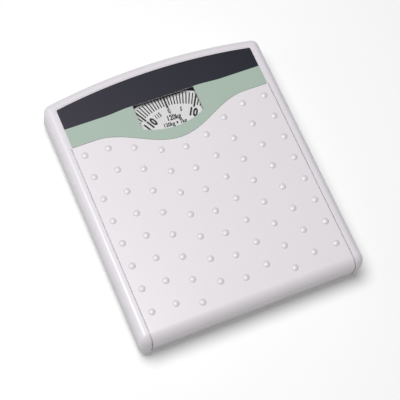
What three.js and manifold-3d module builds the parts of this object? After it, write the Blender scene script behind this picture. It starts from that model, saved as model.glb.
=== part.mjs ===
// Mechanical dial platform scale, in millimetres, +Z up, origin on the floor under the middle.
// +Y points to the dial end and +X to the right of a person who stands on the tread.
import * as THREE from 'three';
import { mergeVertices } from 'three/addons/utils/BufferGeometryUtils.js';
import Module from 'manifold-3d';

// ---- driving dimensions ------------------------------------------------------------------

const GAP = 0.3; // between pieces that touch

// cover: the white frame and the tread between its rails
const WIDTH = 240;
const DEPTH = 281;
const TREAD_TOP = 44; // tread surface above the floor
const REAR_ARC_R = 640; // the rear edge is one long arc
const CORNER_R = 8; // plan corners
const EDGE_R = 7; // round along the sides and the rear
const FRONT_ROLL_R = 12; // round along the front
const COVER_WALL = 2;
const SKIRT_BOTTOM = 14;
const FRONT_SKIRT_BOTTOM = 16.5;
const RAIL_WIDTH = 10.75;
const REAR_RIM = 9.75;
const SEAM = 0.8; // groove between rail and tread
const TREAD_CORNER_R = 3; // where the tread meets the rear rim
const LEDGE = 6; // frame ledge under the tread's edge
const LEDGE_CORNER_R = 2;
const LEDGE_THICKNESS = 1.7;

// raised dots on the tread
const DOT_PITCH_X = 24.8;
const DOT_PITCH_Y = 25;
const DOT_R = 3.5;
const DOT_HEIGHT = 1.2;
const DOT_CLEAR_OF_LABEL = 12;
const DOT_FRONT_MARGIN = 18;
const DOT_SIDE_MARGIN = 9;

// printed label and window
const LABEL_THICKNESS = 0.5;
const LABEL_RECESS = 0.8;
const LABEL_EDGE = 0.6;
const LABEL_SIDE_DEPTH = 64.75; // from the rear edge to the label's front edge at the rails
const WAVE_DIP = 25.75; // how far it dips at the middle
const WAVE_HALF = 82; // half the width of the dip
const WINDOW_HALF = 33.5;
const WINDOW_INSET = 41.75; // from the rear edge to the window
const WINDOW_DEPTH = 35.75; // at its middle
const WINDOW_BOW = 8; // how much less it is at its sides
const LENS_THICKNESS = 2;
const LENS_LIP = 3;

// base pan and feet
const PAN_CLEARANCE = 1.8; // between the skirt and the pan
const PAN_BOTTOM = 6;
const PAN_WALL = 1;
const PAN_RIM = 24;
const PAN_EDGE_R = 3;
const FOOT_R = 13;

// lever work
const LEVER_THICKNESS = 2.5;
const LEVER_HEIGHT = 8;
const FULCRUM_INSET = 22; // from the sides to the levers' pins
const FRONT_FULCRUM_INSET = 26.5; // from the front edge
const REAR_FULCRUM_INSET = 31.5; // from the rear edge
const FULCRUM_Z = 14.5;
const FULCRUM_PIN_R = 2;
const LONG_RATIO = 8; // nose travel for each millimetre of platform travel
const NOSE_X = 14;
const NOSE_INSET = 24.5; // from the rear edge to the levers' noses
const SHORT_RATIO = LONG_RATIO / 2; // the short levers press on the middle of the long ones
const BRACKET_WALL = 1.5;
const BRACKET_SLACK = 0.6; // between a lever and the hanger's cheeks beside it
const LINK_CLEARANCE = 0.6; // where a short lever crosses over a long one that lies level
const HANGER_TO_LEDGE = 2.75;
const HANGER_CLEARANCE = 0.5; // over a lever's sloping top

// spring end
const PLATE_HALF = 20;
const PLATE_THICKNESS = 2;
const PLATE_AHEAD = 18; // how far the plate reaches in front of the noses
const PLATE_BEHIND = 4.1;
const SPRING_R = 5.1; // to the middle of the wire
const SPRING_WIRE_R = 0.9;
const SPRING_TURNS = 4;
const SPRING_BELOW_DIAL = 4.4; // from the dial's face down to the spring's upper end
const ZERO_LEVER_ARM = 9; // from the spring back to the zero lever's pivot
const ZERO_WHEEL_R = 9.5;
const ZERO_WHEEL_Z = 13;
const ZERO_WHEEL_WIDTH = 5;

// indicator work
const CRANK_REACH = 9.65; // from the crank's pivot back to the tip under the plate
const CRANK_OVERLAP = 2.75; // how far the plate passes over that tip
const CRANK_TILT = Math.PI / 8; // lean at no load, the same the other way at full load
const CRANK_WALL = 1.5;
const CRANK_TIP_R = 1.2; // in the rack's slot
const CRANK_TOE_R = 1.6; // under the plate
const CRANK_NECK = 0.9; // half the height of the arm behind the toe
const DIAL_INSET = 105.75; // from the rear edge to the spindle
const DIAL_R = 71;
const DIAL_DEPTH = 7.6; // below the tread
const DIAL_THICKNESS = 0.8;
const SPINDLE_R = 1;
const PINION_TEETH = 10;
const GEAR_MODULE = 0.5;
const RACK_BELOW_DIAL = 6.4;
const GUIDE_AHEAD = 32; // from the crank's pivot forward to the rack's guide
const CRANK_ABOVE_RACK = 1.96; // from the rack's underside to the middle of the crank's tip
const RACK_THICKNESS = 1.2;
const RACK_WIDTH = 5.2;
const RACK_TEETH = 14;
const BRIDGE_HALF = 28;
const BRIDGE_BELOW_DIAL = 9; // from the dial's face down to the bridge
const BUSH_R = 4;

// ---- values that follow from them ---------------------------------------------------------

const COVER_UNDERSIDE = TREAD_TOP - COVER_WALL;
const SEAM_X = WIDTH / 2 - RAIL_WIDTH;
const REAR_Y = DEPTH / 2;
const WAVE_SIDE_Y = REAR_Y - LABEL_SIDE_DEPTH;
const WINDOW_REAR_Y = REAR_Y - WINDOW_INSET;
const WINDOW_FRONT_Y = WINDOW_REAR_Y - WINDOW_DEPTH;
const WINDOW_SIDE_Y = WINDOW_FRONT_Y + WINDOW_BOW;
const REAR_ARC_CENTRE_Y = REAR_Y - REAR_ARC_R;
const PAN_INSET = COVER_WALL + PAN_CLEARANCE;
const PAN_FLOOR = PAN_BOTTOM + PAN_WALL;
const BRACKET_FOOT = PAN_FLOOR + GAP;
const FULCRUM_X = WIDTH / 2 - FULCRUM_INSET;
const FRONT_FULCRUM_Y = FRONT_FULCRUM_INSET - DEPTH / 2;
const REAR_FULCRUM_Y = REAR_Y - REAR_FULCRUM_INSET;
const NOSE_Y = REAR_Y - NOSE_INSET;
const LONG_LENGTH = NOSE_Y - FRONT_FULCRUM_Y;
const LINK_Y = FRONT_FULCRUM_Y + LONG_LENGTH / 2;
const LINK_X = (FULCRUM_X + NOSE_X) / 2;
const SHORT_LENGTH = REAR_FULCRUM_Y - LINK_Y;
const DIAL_Y = REAR_Y - DIAL_INSET;
const DIAL_TOP = TREAD_TOP - DIAL_DEPTH;
const DIAL_UNDERSIDE = DIAL_TOP - DIAL_THICKNESS;
const PITCH_R = (GEAR_MODULE * PINION_TEETH) / 2;
const TOOTH_PITCH = Math.PI * GEAR_MODULE;
const RACK_TRAVEL = 2 * Math.PI * PITCH_R;
const RACK_LINE = PITCH_R + 1.25 * GEAR_MODULE;
const RACK_Z = DIAL_TOP - RACK_BELOW_DIAL;
const CRANK_X = RACK_LINE + RACK_WIDTH / 2;
const CRANK_SHORT_ARM = CRANK_REACH / Math.cos(CRANK_TILT);
const CRANK_LONG_ARM = RACK_TRAVEL / (2 * Math.sin(CRANK_TILT));
const CRANK_Z = RACK_Z + CRANK_ABOVE_RACK - CRANK_LONG_ARM * Math.cos(CRANK_TILT);
const PLATE_FRONT_Y = NOSE_Y - PLATE_AHEAD;
const PLATE_REAR_Y = NOSE_Y + PLATE_BEHIND;
const CRANK_Y = PLATE_FRONT_Y + CRANK_OVERLAP - CRANK_REACH - CRANK_TOE_R + 0.5;
const CRANK_TOE_TOP = CRANK_Z + CRANK_SHORT_ARM * Math.sin(CRANK_TILT) + CRANK_TOE_R;
const PLATE_TOP = CRANK_TOE_TOP + GAP + PLATE_THICKNESS;
const NOSE_Z = PLATE_TOP + GAP + LEVER_HEIGHT / 2;
const LONG_SLOPE = (NOSE_Z - FULCRUM_Z) / LONG_LENGTH;
const LINK_Z = (FULCRUM_Z + NOSE_Z) / 2 + LEVER_HEIGHT + LINK_CLEARANCE + 6 * LONG_SLOPE;
const BRIDGE_TOP = DIAL_TOP - BRIDGE_BELOW_DIAL;
const SPRING_TOP = DIAL_TOP - SPRING_BELOW_DIAL;
const ADJUSTER_Y = NOSE_Y + ZERO_LEVER_ARM;
const ADJUSTER_Z = SPRING_TOP + 1;

const wasm = await Module();
wasm.setup();

// ---- shape helpers ------------------------------------------------------------------------

function toSolid(geometry) {
  const bare = geometry.clone();
  bare.deleteAttribute('normal');
  bare.deleteAttribute('uv');
  const merged = mergeVertices(bare, 1e-4);
  return new wasm.Manifold(new wasm.Mesh({
    numProp: 3,
    vertProperties: new Float32Array(merged.attributes.position.array),
    triVerts: new Uint32Array(merged.index.array),
  }));
}

function toGeometry(solid) {
  const { vertProperties, triVerts } = solid.getMesh();
  const geometry = new THREE.BufferGeometry();
  geometry.setAttribute('position', new THREE.BufferAttribute(new Float32Array(vertProperties), 3));
  geometry.setIndex(new THREE.BufferAttribute(new Uint32Array(triVerts), 1));
  geometry.computeVertexNormals();
  return geometry;
}

function join(...solids) {
  return solids.reduce((whole, piece) => whole.add(piece));
}

function box(x0, x1, y0, y1, z0, z1) {
  const geometry = new THREE.BoxGeometry(x1 - x0, y1 - y0, z1 - z0);
  geometry.translate((x0 + x1) / 2, (y0 + y1) / 2, (z0 + z1) / 2);
  return toSolid(geometry);
}

function cylinderZ(x, y, z0, z1, radius, sides = 24) {
  const geometry = new THREE.CylinderGeometry(radius, radius, z1 - z0, sides);
  geometry.rotateX(Math.PI / 2);
  geometry.translate(x, y, (z0 + z1) / 2);
  return toSolid(geometry);
}

function cylinderX(y, z, x0, x1, radius, sides = 16) {
  const geometry = new THREE.CylinderGeometry(radius, radius, x1 - x0, sides);
  geometry.rotateZ(Math.PI / 2);
  geometry.translate((x0 + x1) / 2, y, z);
  return toSolid(geometry);
}

function cylinderY(x, z, y0, y1, radius, sides = 24) {
  const geometry = new THREE.CylinderGeometry(radius, radius, y1 - y0, sides);
  geometry.translate(x, (y0 + y1) / 2, z);
  return toSolid(geometry);
}

function ringZ(x, y, z0, z1, outer, inner) {
  return cylinderZ(x, y, z0, z1, outer).subtract(cylinderZ(x, y, z0 - 1, z1 + 1, inner));
}

// A flat outline in XY made thick from z0 to z1.
function slab(points, z0, z1, holes = []) {
  const shape = new THREE.Shape(points);
  shape.holes = holes.map((hole) => new THREE.Path(hole));
  const geometry = new THREE.ExtrudeGeometry(shape, { depth: z1 - z0, bevelEnabled: false });
  geometry.translate(0, 0, z0);
  return toSolid(geometry);
}

// An outline drawn in YZ made thick from x0 to x1.
function sideSlab(points, x0, x1) {
  const geometry = new THREE.ExtrudeGeometry(new THREE.Shape(points), {
    depth: x1 - x0,
    bevelEnabled: false,
  });
  const turn = new THREE.Matrix4().makeBasis(
    new THREE.Vector3(0, 1, 0),
    new THREE.Vector3(0, 0, 1),
    new THREE.Vector3(1, 0, 0),
  );
  geometry.applyMatrix4(turn);
  geometry.translate(x0, 0, 0);
  return toSolid(geometry);
}

// A slab whose upper and lower edges are rounded.
function roundedSlab(points, z0, z1, radius, segments) {
  const geometry = new THREE.ExtrudeGeometry(new THREE.Shape(points), {
    depth: z1 - z0 - 2 * radius,
    bevelThickness: radius,
    bevelSize: radius,
    bevelOffset: -radius,
    bevelSegments: segments,
  });
  geometry.translate(0, 0, z0 + radius);
  return toSolid(geometry);
}

function arc(x, y, radius, from, to, steps) {
  return Array.from({ length: steps + 1 }, (_, i) => {
    const angle = from + ((to - from) * i) / steps;
    return new THREE.Vector2(x + radius * Math.cos(angle), y + radius * Math.sin(angle));
  });
}

function turnAboutZ(solid, x, y, angle) {
  const degrees = THREE.MathUtils.radToDeg(angle);
  return solid.translate([-x, -y, 0]).rotate([0, 0, degrees]).translate([x, y, 0]);
}

function mirrorX(solid) {
  return solid.mirror([1, 0, 0]);
}

// ---- outlines -----------------------------------------------------------------------------

// Straight sides and front, a rear edge that is an arc about REAR_ARC_CENTRE_Y, round corners.
function domedOutline(half, front, arcR, cornerR) {
  const x = half - cornerR;
  const rise = Math.sqrt((arcR - cornerR) ** 2 - x ** 2);
  const rearY = REAR_ARC_CENTRE_Y + rise;
  const lean = Math.atan2(rise, x);
  const right = Math.PI - lean;
  return [
    ...arc(-x, front + cornerR, cornerR, Math.PI, 1.5 * Math.PI, 5),
    ...arc(x, front + cornerR, cornerR, -Math.PI / 2, 0, 5),
    ...arc(x, rearY, cornerR, 0, lean, 5),
    ...arc(0, REAR_ARC_CENTRE_Y, arcR, lean, right, 16).slice(1, -1),
    ...arc(-x, rearY, cornerR, right, Math.PI, 5),
  ];
}

function bodyOutline(inset) {
  return domedOutline(WIDTH / 2 - inset, -DEPTH / 2 + inset, REAR_ARC_R - inset, CORNER_R - inset);
}

// The tread's place in the frame, open past the front, grown or shrunk by an even margin.
function treadOutline(margin, cornerR = TREAD_CORNER_R + margin) {
  return domedOutline(SEAM_X + margin, -DEPTH, REAR_ARC_R - REAR_RIM + margin, cornerR);
}

// The label's front edge: straight at the rails, with one smooth dip at the middle.
function waveY(x) {
  const share = Math.min(Math.abs(x) / WAVE_HALF, 1);
  return WAVE_SIDE_Y - (WAVE_DIP * (1 + Math.cos(Math.PI * share))) / 2;
}

function wavePoints() {
  const end = SEAM_X - SEAM / 2 - LABEL_EDGE;
  const steps = 24;
  const dip = Array.from({ length: steps + 1 }, (_, i) => {
    const x = WAVE_HALF * ((2 * i) / steps - 1);
    return new THREE.Vector2(x, waveY(x));
  });
  return [new THREE.Vector2(-end, WAVE_SIDE_Y), ...dip, new THREE.Vector2(end, WAVE_SIDE_Y)];
}

function labelOutline(margin) {
  const half = SEAM_X - SEAM / 2 - LABEL_EDGE + margin;
  const arcR = REAR_ARC_R - REAR_RIM - SEAM / 2 - LABEL_EDGE + margin;
  const cornerR = TREAD_CORNER_R - LABEL_EDGE + margin;
  const rear = domedOutline(half, -DEPTH, arcR, cornerR).filter((p) => p.y > 0);
  const wave = wavePoints().map((p) => new THREE.Vector2(p.x, p.y - margin));
  wave[0].x = -half;
  wave[wave.length - 1].x = half;
  return [...wave, ...rear];
}

function windowOutline(margin) {
  const rise = WINDOW_SIDE_Y - WINDOW_FRONT_Y;
  const arcR = (WINDOW_HALF ** 2 + rise ** 2) / (2 * rise);
  const half = WINDOW_HALF + margin;
  const radius = arcR + margin;
  const spread = Math.asin(half / radius);
  const centreY = WINDOW_FRONT_Y + arcR;
  const rearY = WINDOW_REAR_Y + margin;
  return [
    ...arc(0, centreY, radius, -Math.PI / 2 - spread, -Math.PI / 2 + spread, 12),
    new THREE.Vector2(half, rearY),
    new THREE.Vector2(-half, rearY),
  ];
}

// ---- cover --------------------------------------------------------------------------------

// The solid outer form of the cover, shrunk evenly by an inset.
function coverForm(inset) {
  const below = -20;
  const plan = roundedSlab(bodyOutline(inset), below, TREAD_TOP - inset, EDGE_R - inset, 5);
  const front = -DEPTH / 2 + inset;
  const roll = FRONT_ROLL_R - inset;
  const top = TREAD_TOP - inset;
  const profile = [
    new THREE.Vector2(front, below),
    new THREE.Vector2(DEPTH, below),
    new THREE.Vector2(DEPTH, top),
    ...arc(front + roll, top - roll, roll, Math.PI / 2, Math.PI, 8),
  ];
  return plan.intersect(sideSlab(profile, -WIDTH, WIDTH));
}

function above(solid, z) {
  return solid.intersect(box(-WIDTH, WIDTH, -DEPTH, DEPTH, z, TREAD_TOP + 10));
}

function topFrame() {
  const outer = coverForm(0);
  const skin = outer.subtract(coverForm(COVER_WALL));
  const ledgeTop = coverForm(COVER_WALL + GAP);
  const ledgeBottom = coverForm(COVER_WALL + GAP + LEDGE_THICKNESS);
  const tall = [-50, TREAD_TOP + 10];
  const opening = slab(treadOutline(SEAM / 2), ...tall);
  const inside = slab(treadOutline(-LEDGE, LEDGE_CORNER_R), ...tall);
  const ribOuter = slab(treadOutline(SEAM / 2 + COVER_WALL), ...tall);
  const rails = skin.subtract(opening);
  const rib = outer.subtract(ledgeBottom).intersect(ribOuter.subtract(opening));
  const ledge = ledgeTop.subtract(ledgeBottom).intersect(ribOuter.subtract(inside));
  return join(above(rails, SKIRT_BOTTOM), above(join(rib, ledge), PAN_RIM + 2));
}

function dotPlaces() {
  const places = [];
  const reach = Math.floor((SEAM_X - DOT_SIDE_MARGIN) / DOT_PITCH_X);
  for (let column = -reach; column <= reach; column += 1) {
    const x = column * DOT_PITCH_X;
    let y = waveY(x) - DOT_CLEAR_OF_LABEL;
    while (y > -DEPTH / 2 + DOT_FRONT_MARGIN) {
      places.push([x, y]);
      y -= DOT_PITCH_Y;
    }
  }
  return places;
}

function dot(x, y) {
  const sphereR = (DOT_R ** 2 + DOT_HEIGHT ** 2) / (2 * DOT_HEIGHT);
  const spread = Math.asin(DOT_R / sphereR);
  const rings = 2;
  const profile = [new THREE.Vector2(0, -COVER_WALL / 2), new THREE.Vector2(DOT_R, -COVER_WALL / 2)];
  for (let i = rings; i > 0; i -= 1) {
    const angle = (spread * i) / rings;
    const height = sphereR * (Math.cos(angle) - 1) + DOT_HEIGHT;
    profile.push(new THREE.Vector2(sphereR * Math.sin(angle), height));
  }
  profile.push(new THREE.Vector2(0, DOT_HEIGHT));
  const geometry = new THREE.LatheGeometry(profile, 10);
  geometry.rotateX(Math.PI / 2);
  geometry.translate(x, y, TREAD_TOP);
  return toSolid(geometry);
}

function treadPanel() {
  const skin = coverForm(0).subtract(coverForm(COVER_WALL));
  const place = slab(treadOutline(-SEAM / 2), -50, TREAD_TOP + 10);
  const recess = slab(labelOutline(GAP), TREAD_TOP - LABEL_RECESS, TREAD_TOP + 10);
  const aperture = slab(windowOutline(GAP), 0, TREAD_TOP + 10);
  const plain = above(skin.intersect(place), FRONT_SKIRT_BOTTOM).subtract(recess).subtract(aperture);
  return join(plain, ...dotPlaces().map(([x, y]) => dot(x, y)));
}

function fasciaLabel() {
  const bottom = TREAD_TOP - LABEL_RECESS + GAP;
  return slab(labelOutline(0), bottom, bottom + LABEL_THICKNESS, [windowOutline(GAP)]);
}

function windowLens() {
  const top = COVER_UNDERSIDE - GAP;
  const flange = slab(windowOutline(LENS_LIP), top - LENS_THICKNESS, top);
  const boss = slab(windowOutline(0), top - LENS_THICKNESS / 2, TREAD_TOP - GAP);
  return join(flange, boss);
}

// A saddle that carries the cover on one lever, built astride a lever that runs along Y.
function hanger(topOfLever, x) {
  const inner = LEVER_THICKNESS / 2 + BRACKET_SLACK;
  const outer = inner + BRACKET_WALL;
  const top = COVER_UNDERSIDE - GAP;
  const seat = topOfLever + HANGER_CLEARANCE;
  const half = SEAM_X - LEDGE - HANGER_TO_LEDGE - x;
  return join(
    box(-half, half, -6, 6, top - BRACKET_WALL, top),
    box(-outer, -inner, -4, 4, seat - 4, top - 0.5),
    box(inner, outer, -4, 4, seat - 4, top - 0.5),
    box(-inner - 0.5, inner + 0.5, -1.5, 1.5, seat, seat + 3),
  );
}

// ---- base ---------------------------------------------------------------------------------

function basePan() {
  const outer = roundedSlab(bodyOutline(PAN_INSET), PAN_BOTTOM, PAN_RIM + 10, PAN_EDGE_R, 3);
  const inside = bodyOutline(PAN_INSET + PAN_WALL);
  const inner = roundedSlab(inside, PAN_FLOOR, PAN_RIM + 20, PAN_EDGE_R - PAN_WALL, 3);
  const lid = box(-WIDTH, WIDTH, -DEPTH, DEPTH, PAN_RIM, PAN_RIM + 30);
  const slotHalf = ZERO_WHEEL_R - 0.5;
  const slotFront = wheelFrontY() - 1;
  const slotRear = wheelFrontY() + ZERO_WHEEL_WIDTH + 1;
  const wheelSlot = box(-slotHalf, slotHalf, slotFront, slotRear, 0, PAN_FLOOR + 1);
  const spindleHole = cylinderY(0, ZERO_WHEEL_Z, DEPTH / 2 - PAN_INSET - 5, DEPTH / 2, 2.5);
  return outer.subtract(inner).subtract(lid).subtract(wheelSlot).subtract(spindleHole);
}

function foot(x, y) {
  const top = PAN_BOTTOM - GAP;
  const profile = [
    new THREE.Vector2(0, 0),
    new THREE.Vector2(FOOT_R - 1.5, 0),
    new THREE.Vector2(FOOT_R - 0.4, 0.6),
    new THREE.Vector2(FOOT_R, 1.8),
    new THREE.Vector2(FOOT_R - 1, top),
    new THREE.Vector2(0, top),
  ];
  const geometry = new THREE.LatheGeometry(profile, 28);
  geometry.rotateX(Math.PI / 2);
  geometry.translate(x, y, 0);
  return toSolid(geometry);
}

// A stand with two notched cheeks, in which the pin of a lever's end lies.
function fulcrumBracket(x, y) {
  const inner = LEVER_THICKNESS / 2 + 3;
  const outer = inner + BRACKET_WALL;
  const cheekTop = FULCRUM_Z + 3;
  const notch = FULCRUM_PIN_R + GAP;
  const stand = join(
    box(-10, 10, -6, 6, BRACKET_FOOT, BRACKET_FOOT + BRACKET_WALL),
    box(-outer, -inner, -5, 5, BRACKET_FOOT, cheekTop),
    box(inner, outer, -5, 5, BRACKET_FOOT, cheekTop),
  );
  const seat = join(
    cylinderX(0, FULCRUM_Z, -outer - 1, outer + 1, notch),
    box(-outer - 1, outer + 1, -notch, notch, FULCRUM_Z, cheekTop + 1),
  );
  return stand.subtract(seat).translate([x, y, 0]);
}

function fulcrumPin(x, y) {
  return cylinderX(y, FULCRUM_Z, x - 6.5, x + 6.5, FULCRUM_PIN_R);
}

// A flat bar on edge from (x0, y0, z0) to (x1, y1, z1), with an eye for its pin at the first end.
function lever(x0, y0, z0, x1, y1, z1) {
  const run = Math.hypot(x1 - x0, y1 - y0);
  const half = LEVER_HEIGHT / 2;
  const tip = 2;
  const outline = [
    new THREE.Vector2(0, z0 - half),
    new THREE.Vector2(run + tip, z1 - half),
    new THREE.Vector2(run + tip, z1 + half - 2),
    new THREE.Vector2(run + tip - 2, z1 + half),
    new THREE.Vector2(0, z0 + half),
    ...arc(0, z0, half, Math.PI / 2, 1.5 * Math.PI, 8).slice(1, -1),
  ];
  const angle = Math.atan2(y1 - y0, x1 - x0) - Math.PI / 2;
  const bar = sideSlab(outline, -LEVER_THICKNESS / 2, LEVER_THICKNESS / 2);
  const placed = turnAboutZ(bar, 0, 0, angle).translate([x0, y0, 0]);
  return placed.subtract(cylinderX(y0, z0, x0 - 10, x0 + 10, FULCRUM_PIN_R + GAP));
}

function leverHeight(z0, z1, share) {
  return z0 + (z1 - z0) * share + LEVER_HEIGHT / 2;
}

// ---- spring end ---------------------------------------------------------------------------

function springPlate() {
  const top = PLATE_TOP;
  const bottom = top - PLATE_THICKNESS;
  const plate = box(-PLATE_HALF, PLATE_HALF, PLATE_FRONT_Y, PLATE_REAR_Y, bottom, top);
  const lip = box(SPRING_R + 3, PLATE_HALF, PLATE_REAR_Y - 1.2, PLATE_REAR_Y, bottom, top + 3);
  const cutX = CRANK_X + 4;
  const leftCut = box(-PLATE_HALF - 1, -cutX, PLATE_FRONT_Y - 1, NOSE_Y - 2, 0, top + 1);
  const rightCut = box(cutX, PLATE_HALF + 1, PLATE_FRONT_Y - 1, NOSE_Y - 2, 0, top + 1);
  const eye = cylinderZ(0, NOSE_Y, 0, top + 1, SPRING_WIRE_R + 1.5);
  return join(plate, lip, mirrorX(lip)).subtract(leftCut).subtract(rightCut).subtract(eye);
}

class CoilCurve extends THREE.Curve {
  constructor(start, end, radius, turns) {
    super();
    this.start = start;
    this.end = end;
    this.radius = radius;
    this.turns = turns;
    this.along = end.clone().sub(start).normalize();
    this.side = new THREE.Vector3(1, 0, 0);
    if (Math.abs(this.along.x) > 0.9) {
      this.side.set(0, 1, 0);
    }
    this.up = this.along.clone().cross(this.side);
  }

  getPoint(t, target = new THREE.Vector3()) {
    const fade = Math.min(1, Math.min(t, 1 - t) * this.turns * 2);
    const radius = this.radius * (fade * fade * (3 - 2 * fade));
    const angle = t * this.turns * 2 * Math.PI;
    return target.copy(this.start).lerp(this.end, t)
      .addScaledVector(this.side, radius * Math.cos(angle))
      .addScaledVector(this.up, radius * Math.sin(angle));
  }
}

function coil(start, end, radius, wireR, turns, stepsPerTurn) {
  const section = new THREE.Shape(arc(0, 0, wireR, 0, 2 * Math.PI, 5).slice(0, -1));
  const geometry = new THREE.ExtrudeGeometry(section, {
    steps: turns * stepsPerTurn,
    extrudePath: new CoilCurve(start, end, radius, turns),
  });
  return toSolid(geometry);
}

function mainSpring() {
  const start = new THREE.Vector3(0, NOSE_Y, PLATE_TOP + GAP + SPRING_WIRE_R);
  const end = new THREE.Vector3(0, NOSE_Y, SPRING_TOP);
  return coil(start, end, SPRING_R, SPRING_WIRE_R, SPRING_TURNS, 12);
}

function springBracket() {
  const inner = 4.5;
  const outer = inner + 2;
  const front = ADJUSTER_Y - 4.5;
  const rear = ADJUSTER_Y + 1.5;
  const top = ADJUSTER_Z + 4;
  const stand = join(
    box(-22, 22, front, rear, BRACKET_FOOT, BRACKET_FOOT + BRACKET_WALL),
    box(-outer, -inner, front, rear + 3, BRACKET_FOOT, top),
    box(inner, outer, front, rear + 3, BRACKET_FOOT, top),
  );
  const pinHole = cylinderX(ADJUSTER_Y, ADJUSTER_Z, -outer - 1, outer + 1, 1.8);
  const wheelRoom = box(-WIDTH, WIDTH, wheelFrontY() - 0.8, DEPTH, 0, ZERO_WHEEL_Z + ZERO_WHEEL_R + 1);
  return stand.subtract(pinHole).subtract(wheelRoom);
}

function adjusterPin() {
  return cylinderX(ADJUSTER_Y, ADJUSTER_Z, -7.5, 7.5, 1.5);
}

// A bell crank: the main spring hangs from its forward arm and the zero screw moves its foot.
function zeroLever() {
  const outline = [
    new THREE.Vector2(ADJUSTER_Y - 1.6, ZERO_WHEEL_Z - 3.2),
    new THREE.Vector2(ADJUSTER_Y + 1.6, ZERO_WHEEL_Z - 3.2),
    new THREE.Vector2(ADJUSTER_Y + 3, ADJUSTER_Z - 2),
    new THREE.Vector2(ADJUSTER_Y + 3, ADJUSTER_Z + 3),
    new THREE.Vector2(NOSE_Y - 3, ADJUSTER_Z + 2.5),
    new THREE.Vector2(NOSE_Y - 3, SPRING_TOP + GAP + 0.4),
    new THREE.Vector2(ADJUSTER_Y - 3, SPRING_TOP - 1),
  ];
  const plate = sideSlab(outline, -2.6, 2.6);
  const pinHole = cylinderX(ADJUSTER_Y, ADJUSTER_Z, -5, 5, 1.8);
  const screwHole = cylinderY(0, ZERO_WHEEL_Z, ADJUSTER_Y - 6, ADJUSTER_Y + 6, 2);
  return plate.subtract(pinHole).subtract(screwHole);
}

function wheelFrontY() {
  return ADJUSTER_Y + 5;
}

function zeroWheel() {
  const ribs = 24;
  const outline = Array.from({ length: ribs * 2 }, (_, i) => {
    const angle = (Math.PI * i) / ribs;
    const radius = ZERO_WHEEL_R - (i % 2) * 0.6;
    return new THREE.Vector2(radius * Math.cos(angle), radius * Math.sin(angle));
  });
  const disc = slab(outline, 0, ZERO_WHEEL_WIDTH).rotate([90, 0, 0]);
  const placed = disc.translate([0, wheelFrontY() + ZERO_WHEEL_WIDTH, ZERO_WHEEL_Z]);
  return placed.subtract(cylinderY(0, ZERO_WHEEL_Z, ADJUSTER_Y - 10, DEPTH / 2, 1.5 + GAP));
}

function zeroScrew() {
  return cylinderY(0, ZERO_WHEEL_Z, ADJUSTER_Y - 4, DEPTH / 2 - COVER_WALL - 1, 1.5, 16);
}

// ---- indicator work -----------------------------------------------------------------------

function crankBracket() {
  const inner = CRANK_WALL / 2 + 0.8;
  const outer = inner + BRACKET_WALL;
  const top = CRANK_Z + 3;
  const stand = join(
    box(-9, 9, -4, 4, BRACKET_FOOT, BRACKET_FOOT + BRACKET_WALL),
    box(-outer, -inner, -4, 4, BRACKET_FOOT, top),
    box(inner, outer, -4, 4, BRACKET_FOOT, top),
  ).translate([CRANK_X, CRANK_Y, 0]);
  return stand.subtract(cylinderX(CRANK_Y, CRANK_Z, CRANK_X - 10, CRANK_X + 10, 1.5 + GAP));
}

function crankPin() {
  return cylinderX(CRANK_Y, CRANK_Z, CRANK_X - 4.5, CRANK_X + 4.5, 1.5);
}

// Points of a bar with a round end, from the pivot out along an angle in the YZ plane.
function armOutline(length, angle, rootHalf, tipHalf) {
  const along = new THREE.Vector2(Math.cos(angle), Math.sin(angle));
  const across = new THREE.Vector2(-along.y, along.x);
  const pivot = new THREE.Vector2(CRANK_Y, CRANK_Z);
  const tip = pivot.clone().addScaledVector(along, length);
  return [
    pivot.clone().addScaledVector(across, -rootHalf),
    ...arc(tip.x, tip.y, tipHalf, angle - Math.PI / 2, angle + Math.PI / 2, 6),
    pivot.clone().addScaledVector(across, rootHalf),
  ];
}

function bellCrank() {
  const x0 = CRANK_X - CRANK_WALL / 2;
  const x1 = CRANK_X + CRANK_WALL / 2;
  const upright = armOutline(CRANK_LONG_ARM, Math.PI / 2 + CRANK_TILT, 2.6, CRANK_TIP_R);
  const forward = armOutline(CRANK_SHORT_ARM, CRANK_TILT, CRANK_NECK + 0.5, CRANK_NECK);
  const toe = cylinderX(CRANK_Y + CRANK_REACH, CRANK_TOE_TOP - CRANK_TOE_R, x0, x1, CRANK_TOE_R);
  const eye = cylinderX(CRANK_Y, CRANK_Z, x0, x1, 3.2);
  const hole = cylinderX(CRANK_Y, CRANK_Z, x0 - 1, x1 + 1, 1.5 + GAP);
  return join(sideSlab(upright, x0, x1), sideSlab(forward, x0, x1), toe, eye).subtract(hole);
}

function rackSlotY() {
  return CRANK_Y - CRANK_LONG_ARM * Math.sin(CRANK_TILT);
}

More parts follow.
